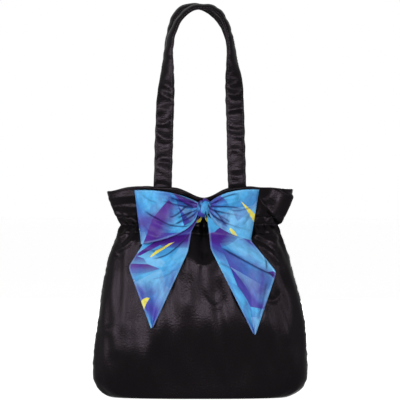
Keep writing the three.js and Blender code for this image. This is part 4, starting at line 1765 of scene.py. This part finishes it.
LEFT_BOW = BowSide(
    side=Side.LEFT,
    loop_top=(95.0, 24.0),
    loop_top_pull=(43.0, 26.0),
    loop_bottom=(86.0, -50.0),
    loop_bottom_pull=(15.0, -38.0),
    tail_outer=(85.0, -52.5),
    tail_shoulder=(104.0, -82.0),
    tail_inner=(17.0, -32.5),
    tail_corner=(22.0, -61.0),
    tail_tip=(72.5, -166.0),
    loop_folds=(
        lap(((-78, 262), (-58, 250), (-38, 241), (-12, 240)), 3.6, 12, 0.16),
        ridge(((-74, 250), (-54, 241), (-34, 233), (-14, 233)), 1.6, 4, 0.3),
        lap(((-43, 252), (-33, 256), (-18, 269)), 2.8, 7, 0.2),
        lap(((-52, 275), (-32, 270), (-11, 266)), 2.6, 6, 0.2),
        lap(((-34, 243), (-24, 250), (-11, 261)), 2.2, 5, 0.2),
        ridge(((-46, 288), (-28, 278), (-9, 269)), 3.4, 3.4, 0.2),
        valley(((-44, 281), (-25, 273), (-8, 266)), 3.2, 2.2, 0.2),
        ridge(((-40, 267), (-22, 265), (-8, 263)), 3.2, 3),
        valley(((-32, 250), (-20, 256), (-8, 261)), 3, 2.2),
        ridge(((-26, 242), (-16, 249), (-8, 257)), 2.8, 2.6),
        valley(((-84, 286), (-70, 276), (-58, 272)), 1.2, 3),
        ridge(((-82, 236), (-66, 226), (-50, 222)), 1.2, 4),
    ),
    tail_folds=(
        lap(((-66, 194), (-46, 201), (-26, 217), (-9, 236)), 3.2, 9, 0.16),
        ridge(((-18, 222), (-36, 200), (-52, 184)), 1.4, 3),
        valley(((-84, 206), (-62, 206), (-44, 214)), 1.6, 3),
        ridge(((-20, 196), (-40, 181), (-62, 172)), 1.4, 5),
        valley(((-70, 166), (-50, 170), (-30, 182)), 1.0, 4),
        ridge(((-90, 180), (-76, 150), (-68, 118)), 1.2, 5),
    ),
    print_at=(646.0, 604.0),
    tail_print_at=(660.0, 306.0),
    loop_cut=(172.0, 76.0),
    tail_cut=(84.0, 158.0),
    tail_area=7600.0,
)

RIGHT_BOW = BowSide(
    side=Side.RIGHT,
    loop_top=(76.5, 25.0),
    loop_top_pull=(31.0, 27.0),
    loop_bottom=(65.0, -44.5),
    loop_bottom_pull=(13.0, -31.0),
    tail_outer=(66.5, -47.0),
    tail_shoulder=(101.0, -89.0),
    tail_inner=(7.5, -31.5),
    tail_corner=(10.0, -57.0),
    tail_tip=(71.5, -175.0),
    loop_folds=(
        lap(((54, 285), (34, 279), (17, 269)), 3, 8, 0.2),
        lap(((56, 264), (36, 266), (17, 265)), 2.4, 6, 0.2),
        lap(((42, 244), (29, 253), (17, 262)), 2.2, 5, 0.2),
        ridge(((17, 275), (28, 284), (46, 290)), 2.6, 3.2),
        ridge(((18, 266), (36, 271), (58, 277)), 2.6, 3.6),
        valley(((18, 263), (28, 252), (38, 238)), 3.4, 2.2, 0.2),
        ridge(((19, 263), (30, 260), (42, 255)), 2.4, 3.4),
        valley(((36, 265), (52, 261), (76, 267)), 1.8, 2.6),
        ridge(((18, 257), (22, 247), (25, 236)), 2.8, 2.6),
        valley(((17, 252), (19, 245), (20, 240)), 1.8, 1.4),
        ridge(((40, 238), (54, 245), (68, 256)), 1.6, 5),
        valley(((58, 240), (66, 250), (70, 262)), 1.1, 3),
    ),
    tail_folds=(
        lap(((108, 168), (84, 179), (56, 194), (26, 211)), 2.6, 11, 0.16),
        ridge(((34, 221), (62, 205), (90, 189)), 1.4, 5),
        lap(((92, 178), (90, 196), (84, 214)), 2, 5, 0.2),
        ridge(((42, 178), (60, 150), (72, 118)), 1.4, 6),
        valley(((94, 168), (88, 140), (80, 108)), 1.2, 3),
        valley(((24, 190), (38, 184), (52, 172)), 1.2, 4),
    ),
    print_at=(826.0, 288.0),
    tail_print_at=(972.0, 190.0),
    loop_cut=(140.0, 72.0),
    tail_cut=(88.0, 166.0),
    tail_area=8300.0,
)


@dataclass
class SashBow:
    """The printed sash: its band inside the neck, the leads, the knot, the loops and the tails."""

    form: BagForm
    finishes: Finishes
    knot_x: float = 5.0
    knot_z: float = 265.0
    knot_y: float = -37.2
    knot_size: tuple[float, float, float] = (19.0, 17.5, 22.0)
    knot_squareness: float = 2.7
    cloth: float = 1.1
    loop_plane: float = 38.2
    loop_puff: float = 8.0
    loop_root: float = 8.4
    root_height: float = 15.0
    root_depth: float = 5.0
    loop_hinge: float = 10.9
    root_plane: float = 33.2
    tail_plane: float = 28.5
    tail_gap: float = 2.4
    tail_fold: float = 2.5
    tail_waves: float = 1.5
    tail_bend: float = 0.25
    hem: float = 2.6
    band_half: float = 9.0
    band_depths: Place = (1.2, 2.4)
    band_gap: float = 13.5
    lead_height: float = 246.0
    knot_print_at: Place = (845.0, 348.0)
    strand_print_at: Place = (836.0, 328.0)
    lead_print_at: Place = (1088.0, 479.0)
    band_cut: Place = (470.0, 20.0)
    lead_cut: Place = (17.0, 10.0)

    def at(self, bow: BowSide, place: Place) -> Array:
        """A place in the plane of the bow, as x and z."""
        return np.array([self.knot_x + bow.side.value * place[0], self.knot_z + place[1]])

    def covers(self) -> list[Array]:
        """Outlines of the two tails.

        Returns:
            The corners of each as x and z, anticlockwise.
        """
        outlines = []
        for bow in (LEFT_BOW, RIGHT_BOW):
            names = (bow.tail_outer, bow.tail_shoulder, bow.tail_tip, bow.tail_corner, bow.tail_inner)
            corners = np.array([self.at(bow, place) for place in names])
            outlines.append(corners if bow.side is Side.LEFT else corners[::-1])
        return outlines

    def build(self) -> None:
        """Builds every piece of the sash."""
        self.build_band()
        self.build_knot()
        for bow in (LEFT_BOW, RIGHT_BOW):
            self.build_lead(bow)
            self.build_loop(bow)
            self.build_tail(bow)

    def hem_at(self, distance: Array) -> Array:
        """How far a place belongs to the turned hem, by its distance from the edge."""
        return ease((self.hem - distance) / 0.9)

    def build_loop(self, bow: BowSide) -> None:
        """One loop: out along the back, round its far end and in again along the front.

        Args:
            bow: The bow's side.
        """
        half = self.root_height / 2.0
        u = np.linspace(0.0, 1.0, 281)
        turn = 2.0 * np.pi * u
        reach = (1.0 - np.cos(turn)) / 2.0
        edges = []
        for root, pull, end in (
            ((self.loop_root, -half), bow.loop_bottom_pull, bow.loop_bottom),
            ((self.loop_root, half), bow.loop_top_pull, bow.loop_top),
        ):
            a, b, c = (self.at(bow, place) for place in (root, pull, end))
            r = reach[:, None]
            edges.append(a * (1 - r) ** 2 + 2 * b * r * (1 - r) + c * r * r)
        puff = self.loop_puff * np.sin(turn) * np.sin(turn / 2.0)
        forward = -puff - self.root_depth / 2.0 * np.cos(turn / 2.0)
        v = np.linspace(0.0, 1.0, 101)[:, None]
        place = edges[0][None] * (1.0 - v[..., None]) + edges[1][None] * v[..., None]
        x, z = place[..., 0], place[..., 1]
        out = np.abs(x - self.knot_x)
        front = ease((u - 0.5) / 0.06)[None]
        back = 1.0 - ease((u - 0.44) / 0.06)[None]
        span = np.linalg.norm(edges[1] - edges[0], axis=-1)[None]
        crush, shade = self.root_pleats(bow, v, out, span)
        folds = sum(fold.lift(x, z) for fold in bow.loop_folds)
        slack = 0.8 * ripple(x, z, 61 if bow.side is Side.LEFT else 67, 24.0, 70.0)
        fade = ease((out - 6.0) / 8.0) * ease((u * (1.0 - u))[None] / 0.02)
        limp = ease((0.5 - np.abs(v - 0.5)) / 0.06)
        detail = front * (folds * mix(0.55, 1.0, limp) + crush + slack) - back * (0.5 * crush + slack * 0.6)
        y = np.broadcast_to(-self.loop_plane - forward[None], x.shape) - fade * detail
        grid = np.stack([x, y, z], axis=-1)
        near, far = both_faces(grid, self.cloth)
        uv = cloth_lengths(grid) + np.array(bow.print_at)
        # The hem attribute: a painted highlight on the turned edges, at the far end and on pleat crests, and
        # painted shade in the creases and between the root pleats
        hem = self.hem_at(np.minimum(v, 1.0 - v) * span)
        painted_end_highlight = bell((u - 0.5) / 0.012)[None] * 0.6
        creases = sum(fold.crease(x, z) for fold in bow.loop_folds)
        dark = front * ease((out - 7.0) / 3.0) * (creases - shade)
        hem = np.maximum(hem, painted_end_highlight + 0.0 * v) - np.minimum(dark, 1.0)
        piece = cloth_piece(f"{bow.name}_loop_cloth", near, far, uv, self.finishes.printed, hem)
        f"{bow.name}_loop"
        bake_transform(piece)
        dress(piece, (f"{bow.name}_bow_loop",))

    def root_pleats(self, bow: BowSide, v: Array, out: Array, span: Array) -> tuple[Array, Array]:
        """Pleats that fan out from the knot and die away.

        Args:
            bow: The bow's side.
            v: Shares across the loop's cloth from its lower edge.
            out: Distances from the knot's middle.
            span: The loop's height at each place along it.

        Returns:
            The pleats' height, and the highlight and shade painted on them, up to 1 on a crest and down to -1
            between two pleats.
        """
        chance = np.random.default_rng(5 if bow.side is Side.LEFT else 8)
        total, shade = np.zeros(out.shape), np.zeros(out.shape)
        for i in range(5):
            centre = (i + 0.5) / 5.0 + chance.uniform(-0.05, 0.05)
            fading = np.exp(-out / chance.uniform(16.0, 34.0))
            total = total + chance.uniform(1.4, 2.4) * fading * (bell((v - centre) / 0.07) - 0.45)
            crest = bell((v - centre) * span / 1.6)
            between = bell((v - centre - 0.1) * span / 1.2)
            shade = shade + fading**1.7 * (1.4 * crest - 4.2 * between)
        return total * 1.9, np.clip(shade, -1.0, 1.0)

    def build_tail(self, bow: BowSide) -> None:
        """One tail, from under the knot over its hinge line and down the front of the bag.

        Args:
            bow: The bow's side.
        """
        u = np.linspace(0.0, 1.0, 97)[None]
        outer, inner = self.at(bow, bow.tail_outer), self.at(bow, bow.tail_inner)
        pull = self.at(bow, (bow.loop_bottom_pull[0] + 6.0, bow.loop_bottom_pull[1] + 2.0))
        root = self.at(bow, (self.knot_size[0] / 3.0 - 2.0, -self.knot_size[2] / 2.0 + 3.0))
        start = outer + np.array([0.0, 3.0])
        w = u[..., None]
        upper = start * (1 - w) ** 2 + 2 * pull * w * (1 - w) + root * w * w
        lower = outer * (1 - w) + inner * w
        v = np.linspace(0.0, 1.0, 25, endpoint=False)[:, None]
        place = upper * (1.0 - v[..., None]) + lower * v[..., None]
        rise = ease(1.6 * u - 0.6) * (1.0 - v)
        forward = mix(self.tail_plane, self.root_plane, rise)
        root_grid = np.stack([place[..., 0], -forward + 0.0 * place[..., 0], place[..., 1]], axis=-1)
        tail_grid = self.hanging(bow, u)
        grid = np.concatenate([root_grid, tail_grid])
        grid = self.crease_tail(bow, grid)
        if bow.side is Side.RIGHT:
            grid = grid[:, ::-1]
        near, far = both_faces(grid[::-1], self.cloth)
        uv = cloth_lengths(grid[::-1]) + np.array(bow.tail_print_at)
        # Painted shade in the tail's creases, and a painted highlight on its turned edges
        dark = sum(fold.crease(grid[..., 0], grid[..., 2]) for fold in bow.tail_folds)
        hem = (self.tail_hem(grid) - np.minimum(dark, 1.0))[::-1]
        piece = cloth_piece(f"{bow.name}_tail_cloth", near, far, uv, self.finishes.printed, hem)
        self.hinge_tail(bow, piece, outer, inner)
        nodes = (f"{bow.name}_tail_root", f"{bow.name}_bow_tail")
        dress(piece, nodes)

    def hanging(self, bow: BowSide, u: Array) -> Array:
        """Middle points of the free part of a tail, from its hinge line to its cut end.

        Args:
            bow: The bow's side.
            u: Shares across it from the outer edge to the inner.

        Returns:
            A grid of points.
        """
        v = np.linspace(0.0, 1.0, 161)
        tip = (bow.tail_tip[0] - 3.0, bow.tail_tip[1] + 2.0)
        edges = []
        for corners in (
            (bow.tail_outer, bow.tail_shoulder, bow.tail_tip),
            (bow.tail_inner, bow.tail_corner, tip),
        ):
            points = np.array([self.at(bow, place) for place in corners])
            marks = (0.0, self.tail_bend, 1.0)
            soft = [self.rounded(np.interp(v, marks, points[:, k])) for k in (0, 1)]
            edges.append(np.stack(soft, axis=-1)[:, None])
        place = edges[0] * (1.0 - u[..., None]) + edges[1] * u[..., None]
        v = v[:, None]
        wave = 1.0 + np.sin(2.0 * np.pi * self.tail_waves * u)
        fold = self.tail_fold * ease(1.5 * v) * wave * (1.0 - 0.6 * v)
        over = self.form.front_at(place[..., 0], place[..., 1]) + self.tail_gap + self.cloth / 2.0 + fold
        softness = 3.0 * ease(4.0 * v)
        forward = (over + self.tail_plane + np.hypot(over - self.tail_plane, softness)) / 2.0
        return np.stack([place[..., 0], -forward, place[..., 1]], axis=-1)

    def rounded(self, values: Array) -> Array:
        """Rounds off the corner in a row of values and keeps its ends.

        Args:
            values: The row.

        Returns:
            The rounded row.
        """
        reach = 9
        before = 2 * values[0] - values[reach:0:-1]
        after = 2 * values[-1] - values[-2 : -reach - 2 : -1]
        padded = np.concatenate([before, values, after])
        window = np.hanning(2 * reach + 3)[1:-1]
        return np.convolve(padded, window / window.sum(), "valid")

    def crease_tail(self, bow: BowSide, grid: Array) -> Array:
        """Gives a tail its folds, crumples and turned hem, standing off the bag.

        Args:
            bow: The bow's side.
            grid: The tail's middle points.

        Returns:
            The moved points.
        """
        x, z = grid[..., 0], grid[..., 2]
        folds = sum(fold.lift(x, z) for fold in bow.tail_folds)
        slack = 0.5 * ripple(x, z, 71 if bow.side is Side.LEFT else 79, 18.0, 60.0)
        below = ease((232.0 - z) / 24.0)
        moved = grid.copy()
        moved[..., 1] -= np.maximum(below * (folds + slack + 1.1), -0.3)
        moved[..., 1] -= 0.35 * self.tail_hem(grid) * below
        return moved

    def tail_hem(self, grid: Array) -> Array:
        """Where a tail's long edges are turned in a hem.

        Args:
            grid: The tail's middle points.

        Returns:
            1 on the hem, falling to 0 beside it.
        """
        widths = np.linalg.norm(grid[:, -1] - grid[:, 0], axis=-1)[:, None]
        u = np.linspace(0.0, 1.0, grid.shape[1])[None]
        hem = self.hem_at(np.minimum(u, 1.0 - u) * widths)
        return hem * ease((widths - 1.0) / 6.0)

    def hinge_tail(self, bow: BowSide, piece: Piece, outer: Array, inner: Array) -> None:
        """Works out the line from a tail's outer to its inner corner, and bakes the tail's place into its
        mesh.

        Args:
            bow: The bow's side.
            piece: The tail.
            outer: The line's outer end, as x and z.
            inner: The line's inner end.
        """
        along = (outer - inner) / np.linalg.norm(outer - inner)
        down = np.array([along[1], -along[0]])
        down = down if down[1] < 0 else -down
        f"{bow.name}_tail"
        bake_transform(piece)

    def build_knot(self) -> None:
        """The knot: a small barrel of crushed cloth with one strand drawn over it."""
        draft = MeshDraft()
        rise = np.linspace(-0.985, 0.985, 57) * np.pi / 2.0
        turn = np.linspace(0.0, 2.0 * np.pi, 97)
        angle, up = np.meshgrid(turn, rise)
        direction = np.stack([np.cos(angle) * np.cos(up), np.sin(angle) * np.cos(up), np.sin(up)], axis=-1)
        reach = (np.abs(direction) ** self.knot_squareness).sum(axis=-1) ** (-1.0 / self.knot_squareness)
        ball = direction * reach[..., None]
        swirl = angle + 0.9 * ball[..., 2]
        crush = 0.07 * np.cos(5.0 * swirl) + 0.05 * np.cos(9.0 * swirl + 1.0)
        crush = crush - 0.05 * np.abs(np.sin(4.0 * swirl))
        pinch = 1.0 - 0.16 * bell((ball[..., 2] - 0.95) / 0.25) - 0.12 * bell((ball[..., 2] + 0.95) / 0.25)
        size = np.array(self.knot_size) / 2.0
        points = ball * (0.97 + crush * np.cos(up))[..., None] * size
        points[..., :2] *= pinch[..., None]
        points += np.array([self.knot_x, self.knot_y, self.knot_z])
        uv = np.stack([angle * 10.0, up * 14.0], axis=-1) + np.array(self.knot_print_at)
        # Painted shade in the hollows between the knot's crushed folds
        draft.add_tube(points[:, :-1], uv, hem=np.clip(9.0 * crush, -0.9, 0.0)[:, :-1])
        self.add_strand(draft)
        piece = draft.make("knot_cloth", [self.finishes.printed])
        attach(piece, "bag")
        dress(piece, ("bow_knot",))

    def add_strand(self, draft: MeshDraft) -> None:
        """Adds the strand of sash that is drawn slanting over the front of the knot.

        Args:
            draft: The knot's mesh.
        """
        size = np.array(self.knot_size) / 2.0
        swing = np.linspace(-0.62, 0.62, 41) * np.pi
        slant = 0.42
        up = np.sin(swing)
        path = np.stack([np.sin(slant) * up, -np.cos(swing), np.cos(slant) * up], axis=-1)
        reach = (np.abs(path) ** self.knot_squareness).sum(axis=-1) ** (-1.0 / self.knot_squareness)
        path = path * reach[:, None]
        normal = unit(path)
        side = np.cross(unit(np.gradient(path, axis=0)), normal)
        around = np.linspace(0.0, 2.0 * np.pi, 29)
        half_width = 5.6 - 1.6 * np.cos(swing)
        wide = power(np.cos(around), 0.7)[None] * half_width[:, None]
        crimp = 0.45 * np.cos(around * 3.0 + 0.6)[None] * np.where(np.sin(around) > 0, 1.0, 0.0)[None]
        thick = 1.5 * np.sin(around)[None] + crimp
        centre = path * size
        rings = centre[:, None] + side[:, None] * wide[..., None] + normal[:, None] * thick[..., None]
        rings = rings + np.array([self.knot_x, self.knot_y, self.knot_z])
        uv = np.stack(np.meshgrid(around * 3.0, swing * 14.0), axis=-1)
        draft.add_tube(rings[:, :-1], uv + np.array(self.strand_print_at))

    def build_band(self) -> None:
        """The sash where it runs round inside the casing."""
        form = self.form
        neck = form.neck_height
        stations = form.station_at(np.linspace(neck - self.band_half, neck + self.band_half, 13))
        level = float(form.station_at(np.array(neck)))
        right = form.share_at(self.knot_x + self.band_gap, level)
        left = form.share_at(self.knot_x - self.band_gap, level)
        spans = (
            (Facing.FRONT, (right, 0.9995)),
            (Facing.BACK, (0.0005, 0.9995)),
            (Facing.FRONT, (0.0005, left)),
        )
        parts = [form.layer(facing, stations, *self.band_depths, 300, span) for facing, span in spans]
        near, far = (np.concatenate(faces, axis=1) for faces in zip(*parts))
        piece = cloth_piece("sash_band_cloth", near, far, cloth_lengths(near), self.finishes.printed)
        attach(piece, "bag")
        dress(piece, ("sash_band",))

    def build_lead(self, bow: BowSide) -> None:
        """The short length of sash from the casing, out through its buttonhole and up to the knot.

        Args:
            bow: The bow's side.
        """
        sign = bow.side.value
        front = float(self.form.front_at(np.array(self.knot_x), np.array(self.lead_height)))
        # Distance out from the knot's middle, place from front to back, and heights of the two edges
        rows = (
            (13.2, -front + 2.0, 243.5, 249.0),
            (8.0, -front + 1.2, 244.5, 249.0),
            (4.4, -front - 1.6, 246.0, 250.0),
            (2.6, -front - 4.0, 249.0, 254.0),
            (2.0, self.knot_y + 7.4, 253.0, 260.0),
        )
        marks = np.linspace(0.0, 1.0, len(rows))
        fine = np.linspace(0.0, 1.0, 41)
        out, y, bottom, top = (np.interp(fine, marks, column) for column in zip(*rows))
        x = self.knot_x + sign * out
        low, high = np.stack([x, y, bottom], axis=-1), np.stack([x, y, top], axis=-1)
        v = np.linspace(0.0, 1.0, 13)[:, None, None]
        grid = low[None] * (1.0 - v) + high[None] * v
        grid[..., 1] += 0.35 * np.cos(v[..., 0] * 4.0 * np.pi)
        if bow.side is Side.LEFT:
            grid = grid[:, ::-1]
        near, far = both_faces(grid, self.cloth)
        uv = cloth_lengths(grid) + np.array(self.lead_print_at)
        piece = cloth_piece(f"{bow.name}_lead_cloth", near, far, uv, self.finishes.printed)
        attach(piece, "bag")
        nodes = (f"{bow.name}_sash_lead",)
        dress(piece, nodes)


@dataclass
class Studio:
    """A pale floor, a white surround, soft lights and the camera, all sized in metres."""

    camera_back: float = 3.2
    camera_height: float = 0.2758
    frame_width: float = 0.56
    floor_half: float = 30.0
    floor_drop: float = 0.0004
    floor_glow: float = 0.87
    soft_light: float = 0.03

    def build(self) -> None:
        """Builds the stage, the lights and the camera."""
        scene = bpy.context.scene
        scene.view_settings.view_transform = "Standard"
        self.build_floor()
        self.build_world(scene)
        self.add_light("key_softbox", (-1.9, -2.0, 0.52), (1.6, 0.5), 43.0)
        self.add_light("front_softbox", (-0.2, -3.4, 0.5), (0.8, 0.5), 53.0)
        self.add_light("fill_softbox", (1.9, -2.0, 0.45), (0.9, 0.5), 14.0)
        self.add_light("back_softbox", (0.4, 3.0, 0.5), (0.9, 0.9), 34.0)
        camera = bpy.data.cameras.new("photo_camera")
        camera.sensor_width = 36.0
        camera.lens = 36.0 * self.camera_back / self.frame_width
        holder = bpy.data.objects.new("photo_camera", camera)
        holder.location = (0.0, -self.camera_back, self.camera_height)
        holder.rotation_euler = (math.pi / 2.0, 0.0, 0.0)
        scene.collection.objects.link(holder)
        scene.camera = holder

    def seen_rays(self, tree: Tree) -> Socket:
        """Tells what the camera sees, straight or in a reflection, from other light.

        Args:
            tree: The node tree of the floor or the surround.

        Returns:
            A socket that is 1 for what is seen and 0 for other light.
        """
        path = add_node(tree, "LightPath").outputs
        add = {"operation": "ADD", "use_clamp": True}
        mirrored = add_node(tree, "Math", add, n0=path["Is Camera Ray"], n1=path["Is Glossy Ray"])
        clear = path["Is Transmission Ray"]
        return add_node(tree, "Math", add, n0=mirrored.outputs[0], n1=clear).outputs[0]

    def build_floor(self) -> None:
        """The floor: pale, with its own light for the camera alone, so that it keeps the bag's shadow."""
        made, tree = new_material("pale_floor")
        times = {"operation": "MULTIPLY"}
        glow = add_node(tree, "Math", times, n0=self.seen_rays(tree), n1=self.floor_glow)
        shader = add_node(
            tree,
            "BsdfPrincipled",
            Base_Color=linear("#e9e9e9"),
            Roughness=0.9,
            Emission_Color=linear("#ffffff"),
            Emission_Strength=glow.outputs[0],
        )
        add_node(tree, "OutputMaterial", Surface=shader.outputs["BSDF"])
        mesh = bpy.data.meshes.new("floor")
        half = self.floor_half
        corners = [(-half, -half, 0.0), (half, -half, 0.0), (half, half, 0.0), (-half, half, 0.0)]
        mesh.from_pydata(corners, [], [(0, 1, 2, 3)])
        mesh.materials.append(made)
        floor = bpy.data.objects.new("floor", mesh)
        floor.location.z = -self.floor_drop
        bpy.context.scene.collection.objects.link(floor)

    def build_world(self, scene: bpy.types.Scene) -> None:
        """A white surround for the camera, and a plain soft light for everything else.

        Args:
            scene: The scene that it surrounds.
        """
        world = bpy.data.worlds.new("surround")
        scene.world = world
        world.use_nodes = True
        tree = world.node_tree
        tree.nodes.clear()
        white = linear("#ffffff")
        soft = add_node(tree, "Background", Color=white, Strength=self.soft_light).outputs[0]
        bright = add_node(tree, "Background", Color=white, Strength=1.0).outputs[0]
        both = add_node(tree, "MixShader", n0=self.seen_rays(tree), n1=soft, n2=bright)
        add_node(tree, "OutputWorld", Surface=both.outputs[0])

    def add_light(self, name: str, place: tuple[float, float, float], size: Place, energy: float) -> None:
        """Adds a soft light that looks at the bag.

        Args:
            name: The light's name.
            place: Where it stands, in metres.
            size: Its width and height, in metres.
            energy: Its power in watts.
        """
        light = bpy.data.lights.new(name, "AREA")
        light.shape = "RECTANGLE"
        light.size, light.size_y = size
        light.energy = energy
        holder = bpy.data.objects.new(name, light)
        holder.location = place
        aim = Vector((0.0, 0.0, 0.2)) - holder.location
        holder.rotation_euler = aim.to_track_quat("-Z", "Y").to_euler()
        bpy.context.scene.collection.objects.link(holder)


def main() -> None:
    """Builds the bag, its straps and its bow, then the studio."""
    logging.basicConfig(level=logging.INFO, format="%(name)s: %(message)s")
    finishes = Finishes()
    form = BagForm()
    bow = SashBow(form, finishes)
    form.covers = bow.covers()
    Studio().build()
    SoftShell(form, finishes).build()
    Strap(Facing.FRONT, finishes, height=253.0, lean=4.0, twist=80.0, seed=101, crown_point=0.82).build()
    Strap(Facing.BACK, finishes, height=258.0, lean=-10.0, twist=78.0, seed=131, crown_point=0.9).build()
    bow.build()


if __name__ == "__main__":
    main()
